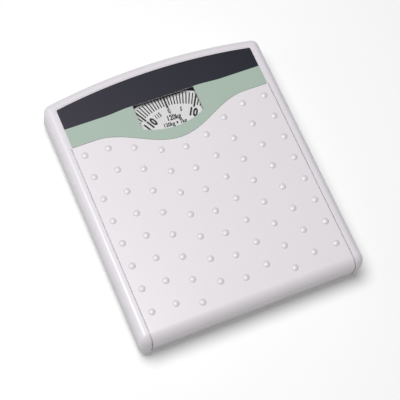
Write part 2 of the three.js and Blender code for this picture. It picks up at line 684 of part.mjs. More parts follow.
function rack() {
  const back = RACK_LINE + RACK_WIDTH;
  const front = rackFrontY();
  const rear = rackSlotY() + 5;
  const top = RACK_Z + RACK_THICKNESS;
  const bar = box(RACK_LINE, back, front, rear, RACK_Z, top);
  const rootHalf = 0.24 * TOOTH_PITCH;
  const tipHalf = 0.1 * TOOTH_PITCH;
  const teeth = Array.from({ length: RACK_TEETH }, (_, i) => {
    const y = DIAL_Y + (1.5 - i) * TOOTH_PITCH;
    return slab([
      new THREE.Vector2(RACK_LINE + 0.2, y + rootHalf),
      new THREE.Vector2(PITCH_R - 0.8 * GEAR_MODULE, y + tipHalf),
      new THREE.Vector2(PITCH_R - 0.8 * GEAR_MODULE, y - tipHalf),
      new THREE.Vector2(RACK_LINE + 0.2, y - rootHalf),
    ], RACK_Z, top);
  });
  const slotHalf = CRANK_WALL / 2 + 0.4;
  const slotFront = rackSlotY() - 2.6;
  const slotRear = rackSlotY() + 2.6;
  const slot = box(CRANK_X - slotHalf, CRANK_X + slotHalf, slotFront, slotRear, 0, top + 1);
  const springHole = cylinderZ(CRANK_X, front + 2, 0, top + 1, 1, 12);
  return join(bar, ...teeth).subtract(slot).subtract(springHole);
}

function rackFrontY() {
  return DIAL_Y - RACK_TRAVEL - 6;
}

function rackGuide() {
  const back = RACK_LINE + RACK_WIDTH;
  const y0 = CRANK_Y - GUIDE_AHEAD;
  const y1 = y0 + 6;
  const stand = join(
    box(RACK_LINE - 2.2, back + 2.2, y0, y1, BRACKET_FOOT, RACK_Z + 3.2),
    box(RACK_LINE - 2.2, back + 2.2, y0 - 4, y1 + 4, BRACKET_FOOT, BRACKET_FOOT + BRACKET_WALL),
  );
  const channel = box(RACK_LINE - 0.7, back + 0.7, y0 - 5, y1 + 5, RACK_Z - GAP, RACK_Z + 10);
  const hollow = box(RACK_LINE - 1, back + 1, y0 - 5, y1 + 5, BRACKET_FOOT + 3, RACK_Z - 3);
  return stand.subtract(channel).subtract(hollow);
}

function returnSpring() {
  const z = RACK_Z + RACK_THICKNESS / 2;
  const start = new THREE.Vector3(CRANK_X, rackFrontY() - GAP - 0.5, z);
  const end = new THREE.Vector3(CRANK_X, returnPostY() + 2.2, z);
  return coil(start, end, 1.8, 0.35, 8, 7);
}

function returnPostY() {
  return rackFrontY() - 34;
}

function returnPost() {
  const y = returnPostY();
  return join(
    cylinderZ(CRANK_X, y, BRACKET_FOOT, RACK_Z + 3, 1.5, 16),
    cylinderZ(CRANK_X, y, BRACKET_FOOT, BRACKET_FOOT + 2, 5, 16),
  );
}

function dialBridge() {
  const y0 = DIAL_Y - 8;
  const y1 = DIAL_Y + 8;
  const wall = BRACKET_WALL;
  const body = join(
    box(-BRIDGE_HALF, BRIDGE_HALF, y0, y1, BRIDGE_TOP - wall, BRIDGE_TOP),
    box(-BRIDGE_HALF, -BRIDGE_HALF + wall, y0, y1, BRACKET_FOOT, BRIDGE_TOP),
    box(BRIDGE_HALF - wall, BRIDGE_HALF, y0, y1, BRACKET_FOOT, BRIDGE_TOP),
    box(-BRIDGE_HALF - 9, -BRIDGE_HALF + wall, y0, y1, BRACKET_FOOT, BRACKET_FOOT + wall),
    box(BRIDGE_HALF - wall, BRIDGE_HALF + 9, y0, y1, BRACKET_FOOT, BRACKET_FOOT + wall),
  );
  const bore = cylinderZ(0, DIAL_Y, 0, BRIDGE_TOP + 1, BUSH_R - 1 + GAP);
  const holes = [-1, 1].map((side) => bridgeScrewHole(side));
  return holes.reduce((left, hole) => left.subtract(hole), body.subtract(bore));
}

function bridgeScrewHole(side) {
  return cylinderZ(side * (BRIDGE_HALF + 5), DIAL_Y, 0, BRACKET_FOOT + 5, 1.5 + GAP, 16);
}

function bridgeScrew(side) {
  const x = side * (BRIDGE_HALF + 5);
  const seat = BRACKET_FOOT + BRACKET_WALL + GAP;
  const head = cylinderZ(x, DIAL_Y, seat, seat + 2, 3, 20);
  const slot = box(x - 4, x + 4, DIAL_Y - 0.4, DIAL_Y + 0.4, seat + 1.2, seat + 3);
  return join(head, cylinderZ(x, DIAL_Y, BRACKET_FOOT, seat + 1, 1.5, 16)).subtract(slot);
}

function spindleBushUpper() {
  const flange = ringZ(0, DIAL_Y, BRIDGE_TOP + GAP, BRIDGE_TOP + 1.3, BUSH_R, SPINDLE_R + GAP);
  const sleeve = ringZ(0, DIAL_Y, BRIDGE_TOP - 4, BRIDGE_TOP + 1, BUSH_R - 1, SPINDLE_R + GAP);
  return join(flange, sleeve);
}

function spindleBushLower() {
  return ringZ(0, DIAL_Y, BRACKET_FOOT, BRACKET_FOOT + 4, BUSH_R, SPINDLE_R + GAP);
}

function dialSpindle() {
  return cylinderZ(0, DIAL_Y, BRACKET_FOOT + 0.4, DIAL_TOP + 1.2, SPINDLE_R, 16);
}

function pinion() {
  const root = PITCH_R - 1.1 * GEAR_MODULE;
  const tip = PITCH_R + 0.8 * GEAR_MODULE;
  const outline = [];
  for (let tooth = 0; tooth < PINION_TEETH; tooth += 1) {
    const middle = (2 * Math.PI * tooth) / PINION_TEETH;
    const rootHalf = 0.5 / root / 1.6;
    const tipHalf = 0.16 / tip;
    for (const [radius, offset] of [[root, -rootHalf], [tip, -tipHalf], [tip, tipHalf], [root, rootHalf]]) {
      const angle = middle + offset;
      outline.push(new THREE.Vector2(radius * Math.cos(angle), DIAL_Y + radius * Math.sin(angle)));
    }
  }
  const gear = slab(outline, BRIDGE_TOP + 1.6, DIAL_UNDERSIDE - 3.3);
  return gear.subtract(cylinderZ(0, DIAL_Y, 0, DIAL_TOP, SPINDLE_R + GAP, 16));
}

function dialHub() {
  const z0 = DIAL_UNDERSIDE - 3;
  const hub = join(
    cylinderZ(0, DIAL_Y, z0, DIAL_UNDERSIDE - GAP, 9, 32),
    cylinderZ(0, DIAL_Y, z0, DIAL_TOP, 4, 32),
  );
  return hub.subtract(cylinderZ(0, DIAL_Y, 0, DIAL_TOP + 1, SPINDLE_R + GAP, 16));
}

function dialDisc() {
  const disc = cylinderZ(0, DIAL_Y, DIAL_UNDERSIDE, DIAL_TOP, DIAL_R, 96);
  return disc.subtract(cylinderZ(0, DIAL_Y, 0, DIAL_TOP + 1, 4 + GAP, 32));
}

// A light spring that holds the cover down on the levers.
function coverSpring(side) {
  const x = side * (WIDTH / 2 - PAN_INSET - 20);
  const start = new THREE.Vector3(x, 0, PAN_FLOOR + GAP + 0.6);
  const end = new THREE.Vector3(x, 0, COVER_UNDERSIDE - GAP - 0.6);
  return coil(start, end, 2.4, 0.5, 7, 7);
}

// ---- assembly -----------------------------------------------------------------------------

const FINISHES = {
  white_shell: { color: 0xece9ef, roughness: 0.42, metalness: 0 },
  pearl_shell: { color: 0xe4dee4, roughness: 0.42, metalness: 0 },
  label_print: { color: 0x3c3c48, roughness: 0.3, metalness: 0 },
  clear_lens: { color: 0xe8f0ee, roughness: 0.08, metalness: 0 },
  dial_face: { color: 0xe2e5e4, roughness: 0.55, metalness: 0 },
  zinc_steel: { color: 0xa9adb2, roughness: 0.35, metalness: 0.9 },
  spring_steel: { color: 0x8c9096, roughness: 0.3, metalness: 0.95 },
  pan_paint: { color: 0xb9b4b8, roughness: 0.5, metalness: 0.1 },
  brass_work: { color: 0xb8954e, roughness: 0.35, metalness: 0.9 },
  grey_plastic: { color: 0x8a8b90, roughness: 0.5, metalness: 0 },
  foot_rubber: { color: 0x2b2b2e, roughness: 0.9, metalness: 0 },
};

const scale = new THREE.Group();

function add(name, finish, solid) {
  const mesh = new THREE.Mesh(toGeometry(solid), new THREE.MeshStandardMaterial(FINISHES[finish]));
  mesh.name = name;
  scale.add(mesh);
}

function addCover() {
  add('top_frame', 'white_shell', topFrame());
  add('tread_panel', 'pearl_shell', treadPanel());
  add('fascia_label', 'label_print', fasciaLabel());
  add('window_lens', 'clear_lens', windowLens());
}

// The levers, pins, brackets, hangers and feet of the right-hand side; the left is its mirror.
function cornerPieces() {
  const longLean = Math.atan2(FULCRUM_X - NOSE_X, LONG_LENGTH);
  const shortLean = -Math.atan2(FULCRUM_X - LINK_X, SHORT_LENGTH);
  const longShare = 1 / LONG_RATIO;
  const shortShare = 1 / SHORT_RATIO;
  const longX = FULCRUM_X + (NOSE_X - FULCRUM_X) * longShare;
  const longY = FRONT_FULCRUM_Y + LONG_LENGTH * longShare;
  const shortX = FULCRUM_X + (LINK_X - FULCRUM_X) * shortShare;
  const shortY = REAR_FULCRUM_Y - SHORT_LENGTH * shortShare;
  const longTop = leverHeight(FULCRUM_Z, NOSE_Z, longShare);
  const shortTop = leverHeight(FULCRUM_Z, LINK_Z, shortShare);
  const hangerFront = turnAboutZ(hanger(longTop, longX), 0, 0, longLean).translate([longX, longY, 0]);
  const hangerRear = turnAboutZ(hanger(shortTop, shortX), 0, 0, shortLean).translate([shortX, shortY, 0]);
  return [
    ['long_lever', 'zinc_steel', lever(FULCRUM_X, FRONT_FULCRUM_Y, FULCRUM_Z, NOSE_X, NOSE_Y, NOSE_Z)],
    ['short_lever', 'zinc_steel', lever(FULCRUM_X, REAR_FULCRUM_Y, FULCRUM_Z, LINK_X, LINK_Y, LINK_Z)],
    ['hanger_front', 'zinc_steel', hangerFront],
    ['hanger_rear', 'zinc_steel', hangerRear],
    ['fulcrum_bracket_front', 'zinc_steel', fulcrumBracket(FULCRUM_X, FRONT_FULCRUM_Y)],
    ['fulcrum_bracket_rear', 'zinc_steel', fulcrumBracket(FULCRUM_X, REAR_FULCRUM_Y)],
    ['fulcrum_pin_front', 'zinc_steel', fulcrumPin(FULCRUM_X, FRONT_FULCRUM_Y)],
    ['fulcrum_pin_rear', 'zinc_steel', fulcrumPin(FULCRUM_X, REAR_FULCRUM_Y)],
    ['foot_front', 'foot_rubber', foot(FULCRUM_X, FRONT_FULCRUM_Y)],
    ['foot_rear', 'foot_rubber', foot(FULCRUM_X, REAR_FULCRUM_Y)],
    ['cover_spring', 'spring_steel', coverSpring(1)],
  ];
}

function addCorners() {
  for (const [name, finish, solid] of cornerPieces()) {
    add(`${name}_right`, finish, solid);
    add(`${name}_left`, finish, mirrorX(solid));
  }
}

function addSpringEnd() {
  add('spring_plate', 'zinc_steel', springPlate());
  add('main_spring', 'spring_steel', mainSpring());
  add('spring_bracket', 'zinc_steel', springBracket());
  add('adjuster_pin', 'zinc_steel', adjusterPin());
  add('zero_lever', 'zinc_steel', zeroLever());
  add('zero_wheel', 'grey_plastic', zeroWheel());
  add('zero_screw', 'zinc_steel', zeroScrew());
}

function addIndicator() {
  add('crank_bracket', 'zinc_steel', crankBracket());
  add('crank_pin', 'zinc_steel', crankPin());
  add('bell_crank', 'zinc_steel', bellCrank());
  add('rack', 'brass_work', rack());
  add('rack_guide', 'grey_plastic', rackGuide());
  add('return_spring', 'spring_steel', returnSpring());
  add('return_post', 'zinc_steel', returnPost());
  add('dial_bridge', 'zinc_steel', dialBridge());
  add('bridge_screw_left', 'zinc_steel', bridgeScrew(-1));
  add('bridge_screw_right', 'zinc_steel', bridgeScrew(1));
  add('spindle_bush_upper', 'brass_work', spindleBushUpper());
  add('spindle_bush_lower', 'brass_work', spindleBushLower());
  add('dial_spindle', 'zinc_steel', dialSpindle());
  add('pinion', 'brass_work', pinion());
  add('dial_hub', 'grey_plastic', dialHub());
  add('dial_disc', 'dial_face', dialDisc());
}

addCover();
addCorners();
add('base_pan', 'pan_paint', basePan());
addSpringEnd();
addIndicator();

export default scale;
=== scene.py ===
"""Looks of a mechanical dial platform scale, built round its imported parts. Lengths are metres."""
import math

import bmesh
import bpy
from mathutils import Matrix, Vector
from mathutils.geometry import delaunay_2d_cdt


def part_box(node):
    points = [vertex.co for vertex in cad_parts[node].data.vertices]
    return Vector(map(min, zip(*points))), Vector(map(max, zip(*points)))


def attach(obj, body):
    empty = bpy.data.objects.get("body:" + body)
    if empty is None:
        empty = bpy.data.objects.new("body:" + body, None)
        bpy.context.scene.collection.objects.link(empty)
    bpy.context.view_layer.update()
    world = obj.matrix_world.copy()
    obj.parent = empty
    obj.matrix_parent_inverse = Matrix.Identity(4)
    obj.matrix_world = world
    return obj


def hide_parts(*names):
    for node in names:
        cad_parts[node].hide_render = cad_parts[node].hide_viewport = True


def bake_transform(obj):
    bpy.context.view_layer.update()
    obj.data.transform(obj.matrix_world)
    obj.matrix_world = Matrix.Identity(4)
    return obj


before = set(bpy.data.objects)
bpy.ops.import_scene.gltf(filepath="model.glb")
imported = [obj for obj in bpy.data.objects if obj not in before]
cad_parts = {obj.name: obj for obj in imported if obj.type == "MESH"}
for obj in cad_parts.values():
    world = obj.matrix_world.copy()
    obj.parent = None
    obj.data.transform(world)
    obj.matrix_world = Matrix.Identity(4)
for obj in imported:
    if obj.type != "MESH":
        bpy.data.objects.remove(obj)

bl_info = {
    "name": "Dial Platform Scale",
    "version": (1, 0, 0),
    "blender": (4, 5, 0),
    "location": "3D View > Sidebar > Dial Scale",
    "description": "Makes the visible pieces of a mechanical dial platform scale",
    "category": "Add Mesh",
}

MM = 0.001
QUARTER = math.pi / 2
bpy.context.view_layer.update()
FRAME_LOW, FRAME_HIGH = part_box("top_frame")
TREAD_LOW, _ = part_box("tread_panel")
LABEL_LOW, LABEL_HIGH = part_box("fascia_label")
LENS_LOW, LENS_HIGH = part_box("window_lens")
PAN_LOW, PAN_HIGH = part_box("base_pan")
DISC_LOW, DISC_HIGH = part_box("dial_disc")
HUB_LOW, HUB_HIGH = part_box("dial_hub")
WHEEL_LOW, WHEEL_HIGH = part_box("zero_wheel")


# ---- sizes and colours that a user would change ----------------------------------------------


def length(name, description, default):
    return bpy.props.FloatProperty(
        name=name, description=description, default=default, unit="LENGTH", precision=5
    )


def count(name, description, default):
    return bpy.props.IntProperty(name=name, description=description, default=default, min=1)


def colour(name, description, default):
    return bpy.props.FloatVectorProperty(
        name=name, description=description, default=default, size=3, min=0, max=1, subtype="COLOR"
    )


class CoverSizes(bpy.types.PropertyGroup):
    """Sizes of the white frame and the tread."""

    rear_arc: length("Rear arc", "Radius of the long arc along the rear edge", 640 * MM)
    corner: length("Corner", "Plan radius of the cover's corners", 8 * MM)
    edge_round: length("Edge round", "Round along the sides and the rear", 7 * MM)
    front_roll: length("Front roll", "Round along the front edge", 12 * MM)
    wall: length("Wall", "Thickness of the moulded shells", 1.7 * MM)
    rail: length("Rail", "Width of a side rail", 10.75 * MM)
    rear_rim: length("Rear rim", "Width of the frame's rear rim", 9.75 * MM)
    seam: length("Seam", "Groove between the frame and the tread", 0.8 * MM)
    seam_depth: length("Seam depth", "From the tread down to the frame's ledge", 2.3 * MM)
    ledge: length("Ledge", "Width of the frame's ledge under the tread", 6 * MM)
    rail_lip: length("Rail lip", "Round along the rail's inner edge", 0.5 * MM)
    tread_lip: length("Tread lip", "Round along the tread's edge", 0.7 * MM)
    tread_corner: length("Tread corner", "Plan radius of the tread's rear corners", 3 * MM)


class DotSizes(bpy.types.PropertyGroup):
    """Sizes of the raised dots on the tread."""

    radius: length("Radius", "Radius of one dot", 3.5 * MM)
    height: length("Height", "Height of one dot", 1.2 * MM)
    pitch_x: length("Pitch across", "Distance between two columns", 24.8 * MM)
    pitch_y: length("Pitch along", "Distance between two rows", 25 * MM)
    from_label: length("From label", "From the label's wave to the first dot", 12 * MM)
    from_front: length("From front", "Least distance to the front edge", 18 * MM)
    from_side: length("From side", "Least distance to the seam", 9 * MM)


class LabelSizes(bpy.types.PropertyGroup):
    """Sizes of the printed label and its window."""

    recess: length("Recess", "Depth of the label's bed in the tread", 0.8 * MM)
    gap: length("Gap", "Clearance round the label and the lens", 0.3 * MM)
    border: length("Border", "Tread left showing behind and beside the label", 0.6 * MM)
    side_depth: length("Side depth", "From the rear edge to the wave at the rails", 64.75 * MM)
    dip: length("Dip", "How far the label's wave dips at the middle", 25.75 * MM)
    dip_half: length("Half dip", "Half the width of the dip", 82 * MM)
    band_depth: length("Band depth", "From the rear edge to the slate band's front", 43.25 * MM)
    band_lift: length("Band lift", "How far the band's front bows back at the middle", 1.5 * MM)
    window_half: length("Half window", "Half the width of the window", 33.5 * MM)
    window_inset: length("Window inset", "From the rear edge to the window", 41.75 * MM)
    window_depth: length("Window depth", "Depth of the window at its middle", 35.75 * MM)
    window_bow: length("Window bow", "How much less deep the window is at its sides", 8 * MM)
    lens_lip: length("Lens lip", "Flange of the lens under the tread", 3 * MM)
    hairline: length("Hairline", "Width of the reading line on the lens", 0.45 * MM)


class DialSizes(bpy.types.PropertyGroup):
    """Sizes of the dial and of what is printed on it."""

    capacity: count("Capacity", "Kilograms in one turn of the dial", 120)
    bold_every: count("Bold every", "Kilograms between two bold marks", 10)
    mark_inner: length("Mark inside", "Inner radius of a fine mark", 55.4 * MM)
    mark_outer: length("Mark outside", "Outer radius of a fine mark", 68.6 * MM)
    mark_width: length("Mark width", "Width of a fine mark", 1.25 * MM)
    bold_inner: length("Bold inside", "Inner radius of a bold mark", 52.8 * MM)
    bold_width: length("Bold width", "Width of a bold mark", 1.9 * MM)
    ink: length("Ink", "Thickness of the print", 0.04 * MM)
    print_turn: bpy.props.FloatProperty(
        name="Print turn",
        description="How far the print is turned past the reading line with no load",
        default=math.radians(1.5),
        subtype="ANGLE",
    )
    large_text: length("Large numbers", "Height of the numbers at the bold marks", 9.2 * MM)
    large_radius: length("Large radius", "From the centre to a large number", 46.4 * MM)
    small_text: length("Small numbers", "Height of the numbers between them", 5.0 * MM)
    small_radius: length("Small radius", "From the centre to a small number", 49.2 * MM)
    nought_radius: length("Nought radius", "From the centre to the nought", 49.0 * MM)


class BaseSizes(bpy.types.PropertyGroup):
    """Sizes of the base pan, the feet and the thumb wheel."""

    sheet: length("Sheet", "Thickness of the pressed steel", 0.9 * MM)
    bend: length("Bend", "Round between the pan's floor and its wall", 3 * MM)
    bead: length("Bead", "Depth of the pressed bead", 1.0 * MM)
    rivet: length("Rivet", "Radius of a rivet head", 2.2 * MM)
    groove: length("Groove", "Depth of the grooves in a foot", 0.7 * MM)
    flutes: count("Flutes", "Grip flutes round the thumb wheel", 36)


class ScaleColours(bpy.types.PropertyGroup):
    """Colours of the finishes."""

    white_shell: colour("White shell", "Frame", (0.745, 0.715, 0.755))
    pearl_shell: colour("Pearl shell", "Tread", (0.765, 0.725, 0.755))
    slate: colour("Slate", "Label's rear band", (0.020, 0.018, 0.030))
    sage: colour("Sage", "Label's front band", (0.385, 0.480, 0.415))
    dial_face: colour("Dial face", "Dial under the marks", (0.86, 0.85, 0.86))
    ink: colour("Ink", "Marks and numbers", (0.010, 0.009, 0.010))
    zinc_steel: colour("Zinc steel", "Levers and brackets", (0.46, 0.47, 0.49))
    spring_steel: colour("Spring steel", "Springs", (0.27, 0.28, 0.30))
    pan_paint: colour("Pan paint", "Base pan", (0.47, 0.455, 0.47))
    brass_work: colour("Brass", "Rack, pinion and bushes", (0.62, 0.43, 0.17))
    grey_plastic: colour("Grey plastic", "Thumb wheel and guide", (0.20, 0.20, 0.22))
    foot_rubber: colour("Foot rubber", "Feet", (0.026, 0.026, 0.028))
    floor: colour("Floor", "Studio floor", (0.78, 0.78, 0.78))


# ---- shader and node helpers -----------------------------------------------------------------


class Tree:
    """Adds nodes to a node tree and joins them"""

    def __init__(self, tree):
        self.tree = tree
        tree.nodes.clear()

    def add(self, kind, inputs=None, **settings):
        node = self.tree.nodes.new(kind)
        for key, value in settings.items():
            setattr(node, key, value)
        for key, value in (inputs or {}).items():
            if isinstance(value, bpy.types.NodeSocket):
                self.tree.links.new(value, node.inputs[key])
            else:
                node.inputs[key].default_value = value
        return node

    def math(self, operation, first, second=0.0, clamp=False):
        values = {0: first, 1: second}
        node = self.add("ShaderNodeMath", values, operation=operation, use_clamp=clamp)
        return node.outputs[0]

    def spread(self, value, width, base):
        """base, plus value times width."""
        values = {0: value, 1: width, 2: base}
        return self.add("ShaderNodeMath", values, operation="MULTIPLY_ADD").outputs[0]

    def ramp(self, value, low, high, smooth=True):
        """Maps value to 0..1 from low to high."""
        node = self.add(
            "ShaderNodeMapRange",
            {0: value, 1: low, 2: high},
            interpolation_type="SMOOTHSTEP" if smooth else "LINEAR",
        )
        return node.outputs[0]

    def mix(self, factor, first, second):
        node = self.add("ShaderNodeMix", data_type="RGBA")
        for key, value in {0: factor, 6: first, 7: second}.items():
            if isinstance(value, bpy.types.NodeSocket):
                self.tree.links.new(value, node.inputs[key])
            else:
                node.inputs[key].default_value = value
        return node.outputs[2]

    def noise(self, place, size, detail=3.0, roughness=0.5):
        """Noise whose lumps are about size metres across."""
        inputs = {"Vector": place, "Scale": 1 / size, "Detail": detail, "Roughness": roughness}
        return self.add("ShaderNodeTexNoise", inputs).outputs[0]

    def bump(self, height, distance, strength=1.0, below=None):
        inputs = {"Height": height, "Distance": distance, "Strength": strength}
        if below is not None:
            inputs["Normal"] = below
        return self.add("ShaderNodeBump", inputs).outputs[0]


def rgba(value, factor=1.0):
    return (*(min(1.0, c * factor) for c in value), 1.0)


def material_tree(name):
    material = bpy.data.materials.new(name + "_finish")
    material.use_nodes = True
    tree = Tree(material.node_tree)
    place = tree.add("ShaderNodeTexCoord").outputs["Object"]
    return material, tree, place


def finish_of(name):
    return bpy.data.materials[name + "_finish"]


def finish_shader(tree, **inputs):
    """Ends a material in one Principled shader. Keys are its input names with _ for a space."""
    named = {key.replace("_", " "): value for key, value in inputs.items()}
    shader = tree.add("ShaderNodeBsdfPrincipled", named)
    tree.add("ShaderNodeOutputMaterial", {"Surface": shader.outputs[0]})


def painted_low_shade(tree, place, body, high, low, depth):
    """Paints shade into a body colour, darker from one height down to another, for the lower walls
    that stand in shade.
    """
    height = tree.add("ShaderNodeSeparateXYZ", {0: place}).outputs[2]
    ragged = tree.spread(tree.noise(place, 30 * MM, 3.0), 2 * MM, -1 * MM)
    fall = tree.ramp(tree.math("ADD", height, ragged), high, low)
    low_shade = tree.math("MULTIPLY", fall, depth)
    # Painted shade: the body colour is mixed towards a dark grey low down.
    return tree.mix(low_shade, body, (0.27, 0.25, 0.255, 1))


def moulded_plastic(name, base, rough, grain, depth, gloss_coat, skirt=0.0):
    """Injection-moulded plastic: spark-eroded grain, slow colour drift and a satin skin."""
    material, tree, place = material_tree(name)
    drift = tree.noise(place, 60 * MM, 2.0)
    cloud = tree.noise(place, 9 * MM, 4.0)
    speck = tree.noise(place, grain * 2.2, 2.0, 0.7)
    body = tree.mix(drift, rgba(base, 0.975), rgba(base, 1.025))
    body = tree.mix(tree.math("MULTIPLY", speck, 0.10), body, rgba(base, 0.90))
    # Painted shade: the skirt is darkened towards its lower edge.
    if skirt:
        body = painted_low_shade(tree, place, body, FRAME_HIGH.z, FRAME_LOW.z + 8 * MM, skirt)
    sheen = tree.spread(cloud, 0.12, rough - 0.06)
    fine = tree.noise(place, grain, 3.0, 0.6)
    waves = tree.bump(cloud, 0.03 * MM, 0.4)
    surface = tree.bump(fine, depth, 0.8, waves)
    finish_shader(
        tree,
        Base_Color=body,
        Roughness=sheen,
        IOR=1.52,
        Specular_IOR_Level=0.5,
        Coat_Weight=gloss_coat,
        Coat_Roughness=0.22,
        Subsurface_Weight=0.04,
        Subsurface_Radius=(1.0 * MM, 0.9 * MM, 0.8 * MM),
        Normal=surface,
    )
    return material


def pearl_plastic(name, base):
    """Moulded plastic with fine pearl flake: tiny bright specks that tilt the gloss."""
    material, tree, place = material_tree(name)
    flakes = tree.add(
        "ShaderNodeTexVoronoi", {"Vector": place, "Scale": 1 / (0.45 * MM)}, feature="F1"
    )
    flake_share = tree.add("ShaderNodeSeparateColor", {0: flakes.outputs["Color"]}).outputs[0]
    drift = tree.noise(place, 70 * MM, 2.0)
    cloud = tree.noise(place, 7 * MM, 4.0)
    body = tree.mix(drift, rgba(base, 0.98), rgba(base, 1.02))
    bright = tree.ramp(flake_share, 0.72, 1.0)
    body = tree.mix(tree.math("MULTIPLY", bright, 0.16), body, rgba((0.90, 0.87, 0.90)))
    # Painted shade: the front roll and skirt are darkened towards their lower edge.
    body = painted_low_shade(tree, place, body, FRAME_HIGH.z - 5 * MM, FRAME_LOW.z + 6 * MM, 0.75)
    sheen = tree.spread(flake_share, 0.14, 0.34)
    fine = tree.noise(place, 0.35 * MM, 3.0, 0.6)
    waves = tree.bump(cloud, 0.03 * MM, 0.4)
    surface = tree.bump(fine, 0.012 * MM, 0.8, waves)
    finish_shader(
        tree,
        Base_Color=body,
        Roughness=sheen,
        IOR=1.53,
        Coat_Weight=0.25,
        Coat_Roughness=0.25,
        Sheen_Weight=0.04,
        Normal=surface,
    )
    return material


def printed_label(name, colours, sizes, rear_y):
    """Screen-printed film: slate behind a bowed line, sage in front, under a satin varnish."""
    material, tree, place = material_tree(name)
    parts = tree.add("ShaderNodeSeparateXYZ", {0: place})
    off_middle = tree.math("ABSOLUTE", parts.outputs[0])
    lift = tree.ramp(off_middle, 65 * MM, 37.5 * MM)
    edge = tree.spread(lift, sizes.band_lift, rear_y - sizes.band_depth)
    behind = tree.math("SUBTRACT", parts.outputs[1], edge)
    band = tree.math("MULTIPLY", behind, 1 / (0.12 * MM), clamp=True)
    drift = tree.noise(place, 80 * MM, 2.0)
    ink_grain = tree.noise(place, 0.5 * MM, 2.0, 0.8)
    across = tree.ramp(parts.outputs[0], -110 * MM, 110 * MM, smooth=False)
    warm = tree.mix(across, rgba(colours.slate, 1.25), rgba((0.011, 0.014, 0.024)))
    slate = tree.mix(tree.math("MULTIPLY", ink_grain, 0.35), warm, rgba(colours.slate, 0.8))
    sage = tree.mix(drift, rgba(colours.sage, 0.965), rgba(colours.sage, 1.035))
    sage = tree.mix(tree.math("MULTIPLY", ink_grain, 0.22), sage, rgba(colours.sage, 0.86))
    ink = tree.mix(band, sage, slate)
    varnish = tree.spread(tree.noise(place, 4 * MM, 4.0), 0.14, 0.42)
    step = tree.bump(band, 0.02 * MM, 0.5)
    surface = tree.bump(tree.noise(place, 0.3 * MM, 3.0, 0.6), 0.008 * MM, 0.8, step)
    finish_shader(
        tree,
        Base_Color=ink,
        Roughness=varnish,
        Specular_IOR_Level=0.32,
        Normal=surface,
    )
    return material


def clear_plastic(name):
    """Clear acrylic: what is behind it shows, and its skin mirrors at a slant."""
    material, tree, place = material_tree(name)
    smear = tree.spread(tree.noise(place, 6 * MM, 4.0), 0.08, 0.03)
    skin = tree.add(
        "ShaderNodeBsdfPrincipled",
        {"Base Color": (0.2, 0.21, 0.21, 1), "Roughness": smear, "IOR": 1.49},
    )
    through = tree.add("ShaderNodeBsdfTransparent", {0: (0.97, 0.97, 0.97, 1)})
    slant = tree.add("ShaderNodeLayerWeight", {0: 0.5}).outputs["Facing"]
    mirror = tree.spread(tree.math("POWER", slant, 5.0), 0.7, 0.03)
    mixed = tree.add("ShaderNodeMixShader", {0: mirror, 1: through.outputs[0], 2: skin.outputs[0]})
    tree.add("ShaderNodeOutputMaterial", {"Surface": mixed.outputs[0]})
    return material


def printed_metal(name, base, rough):
    """Lithographed tin or dense ink: faint mottling and an eggshell varnish."""
    material, tree, place = material_tree(name)
    mottle = tree.noise(place, 12 * MM, 4.0)
    grain = tree.noise(place, 0.25 * MM, 2.0, 0.8)
    body = tree.mix(mottle, rgba(base, 0.97), rgba(base, 1.03))
    body = tree.mix(tree.math("MULTIPLY", grain, 0.2), body, rgba(base, 0.9))
    sheen = tree.spread(mottle, 0.15, rough - 0.07)
    surface = tree.bump(grain, 0.01 * MM, 0.7)
    finish_shader(tree, Base_Color=body, Roughness=sheen, IOR=1.5, Normal=surface)
    return material


def plated_metal(name, base, spangle, rough):
    """Zinc-plated or rolled metal: crystal spangle, rolling lines and dull patches."""
    material, tree, place = material_tree(name)
    crystals = tree.add("ShaderNodeTexVoronoi", {"Vector": place, "Scale": 1 / spangle})
    tone = tree.add("ShaderNodeSeparateColor", {0: crystals.outputs["Color"]}).outputs[1]
    stretched = tree.add("ShaderNodeMapping", {0: place, 3: (1.0, 0.04, 1.0)}).outputs[0]
    lines = tree.noise(stretched, 0.4 * MM, 3.0, 0.7)
    dull = tree.noise(place, 18 * MM, 5.0)
    body = tree.mix(tone, rgba(base, 0.82), rgba(base, 1.15))
    body = tree.mix(tree.math("MULTIPLY", dull, 0.3), body, rgba(base, 0.7))
    shine = tree.spread(lines, 0.18, rough)
    surface = tree.bump(lines, 0.02 * MM, 0.5)
    finish_shader(tree, Base_Color=body, Metallic=1.0, Roughness=shine, Normal=surface)
    return material


def stoved_paint(name, base):
    """Grey stoving paint on sheet steel: orange peel, broad blotches and small dark flecks."""
    material, tree, place = material_tree(name)
    peel = tree.noise(place, 1.4 * MM, 2.0, 0.5)
    blotch = tree.noise(place, 45 * MM, 4.0)
    fleck = tree.noise(place, 0.5 * MM, 2.0, 0.9)
    body = tree.mix(blotch, rgba(base, 0.93), rgba(base, 1.05))
    body = tree.mix(tree.ramp(fleck, 0.62, 0.72), body, rgba(base, 0.72))
    sheen = tree.spread(blotch, 0.2, 0.34)
    surface = tree.bump(peel, 0.06 * MM, 0.6)
    finish_shader(tree, Base_Color=body, Roughness=sheen, Coat_Weight=0.15, Normal=surface)
    return material


def moulded_rubber(name, base):
    """Black rubber: chalky bloom in patches and a fine open grain."""
    material, tree, place = material_tree(name)
    bloom = tree.noise(place, 5 * MM, 5.0, 0.6)
    grain = tree.noise(place, 0.3 * MM, 3.0, 0.7)
    body = tree.mix(tree.ramp(bloom, 0.45, 0.8), rgba(base), rgba((0.075, 0.073, 0.072)))
    rough = tree.spread(grain, 0.2, 0.62)
    surface = tree.bump(grain, 0.03 * MM, 0.8)
    finish_shader(tree, Base_Color=body, Roughness=rough, Specular_IOR_Level=0.35, Normal=surface)
    return material


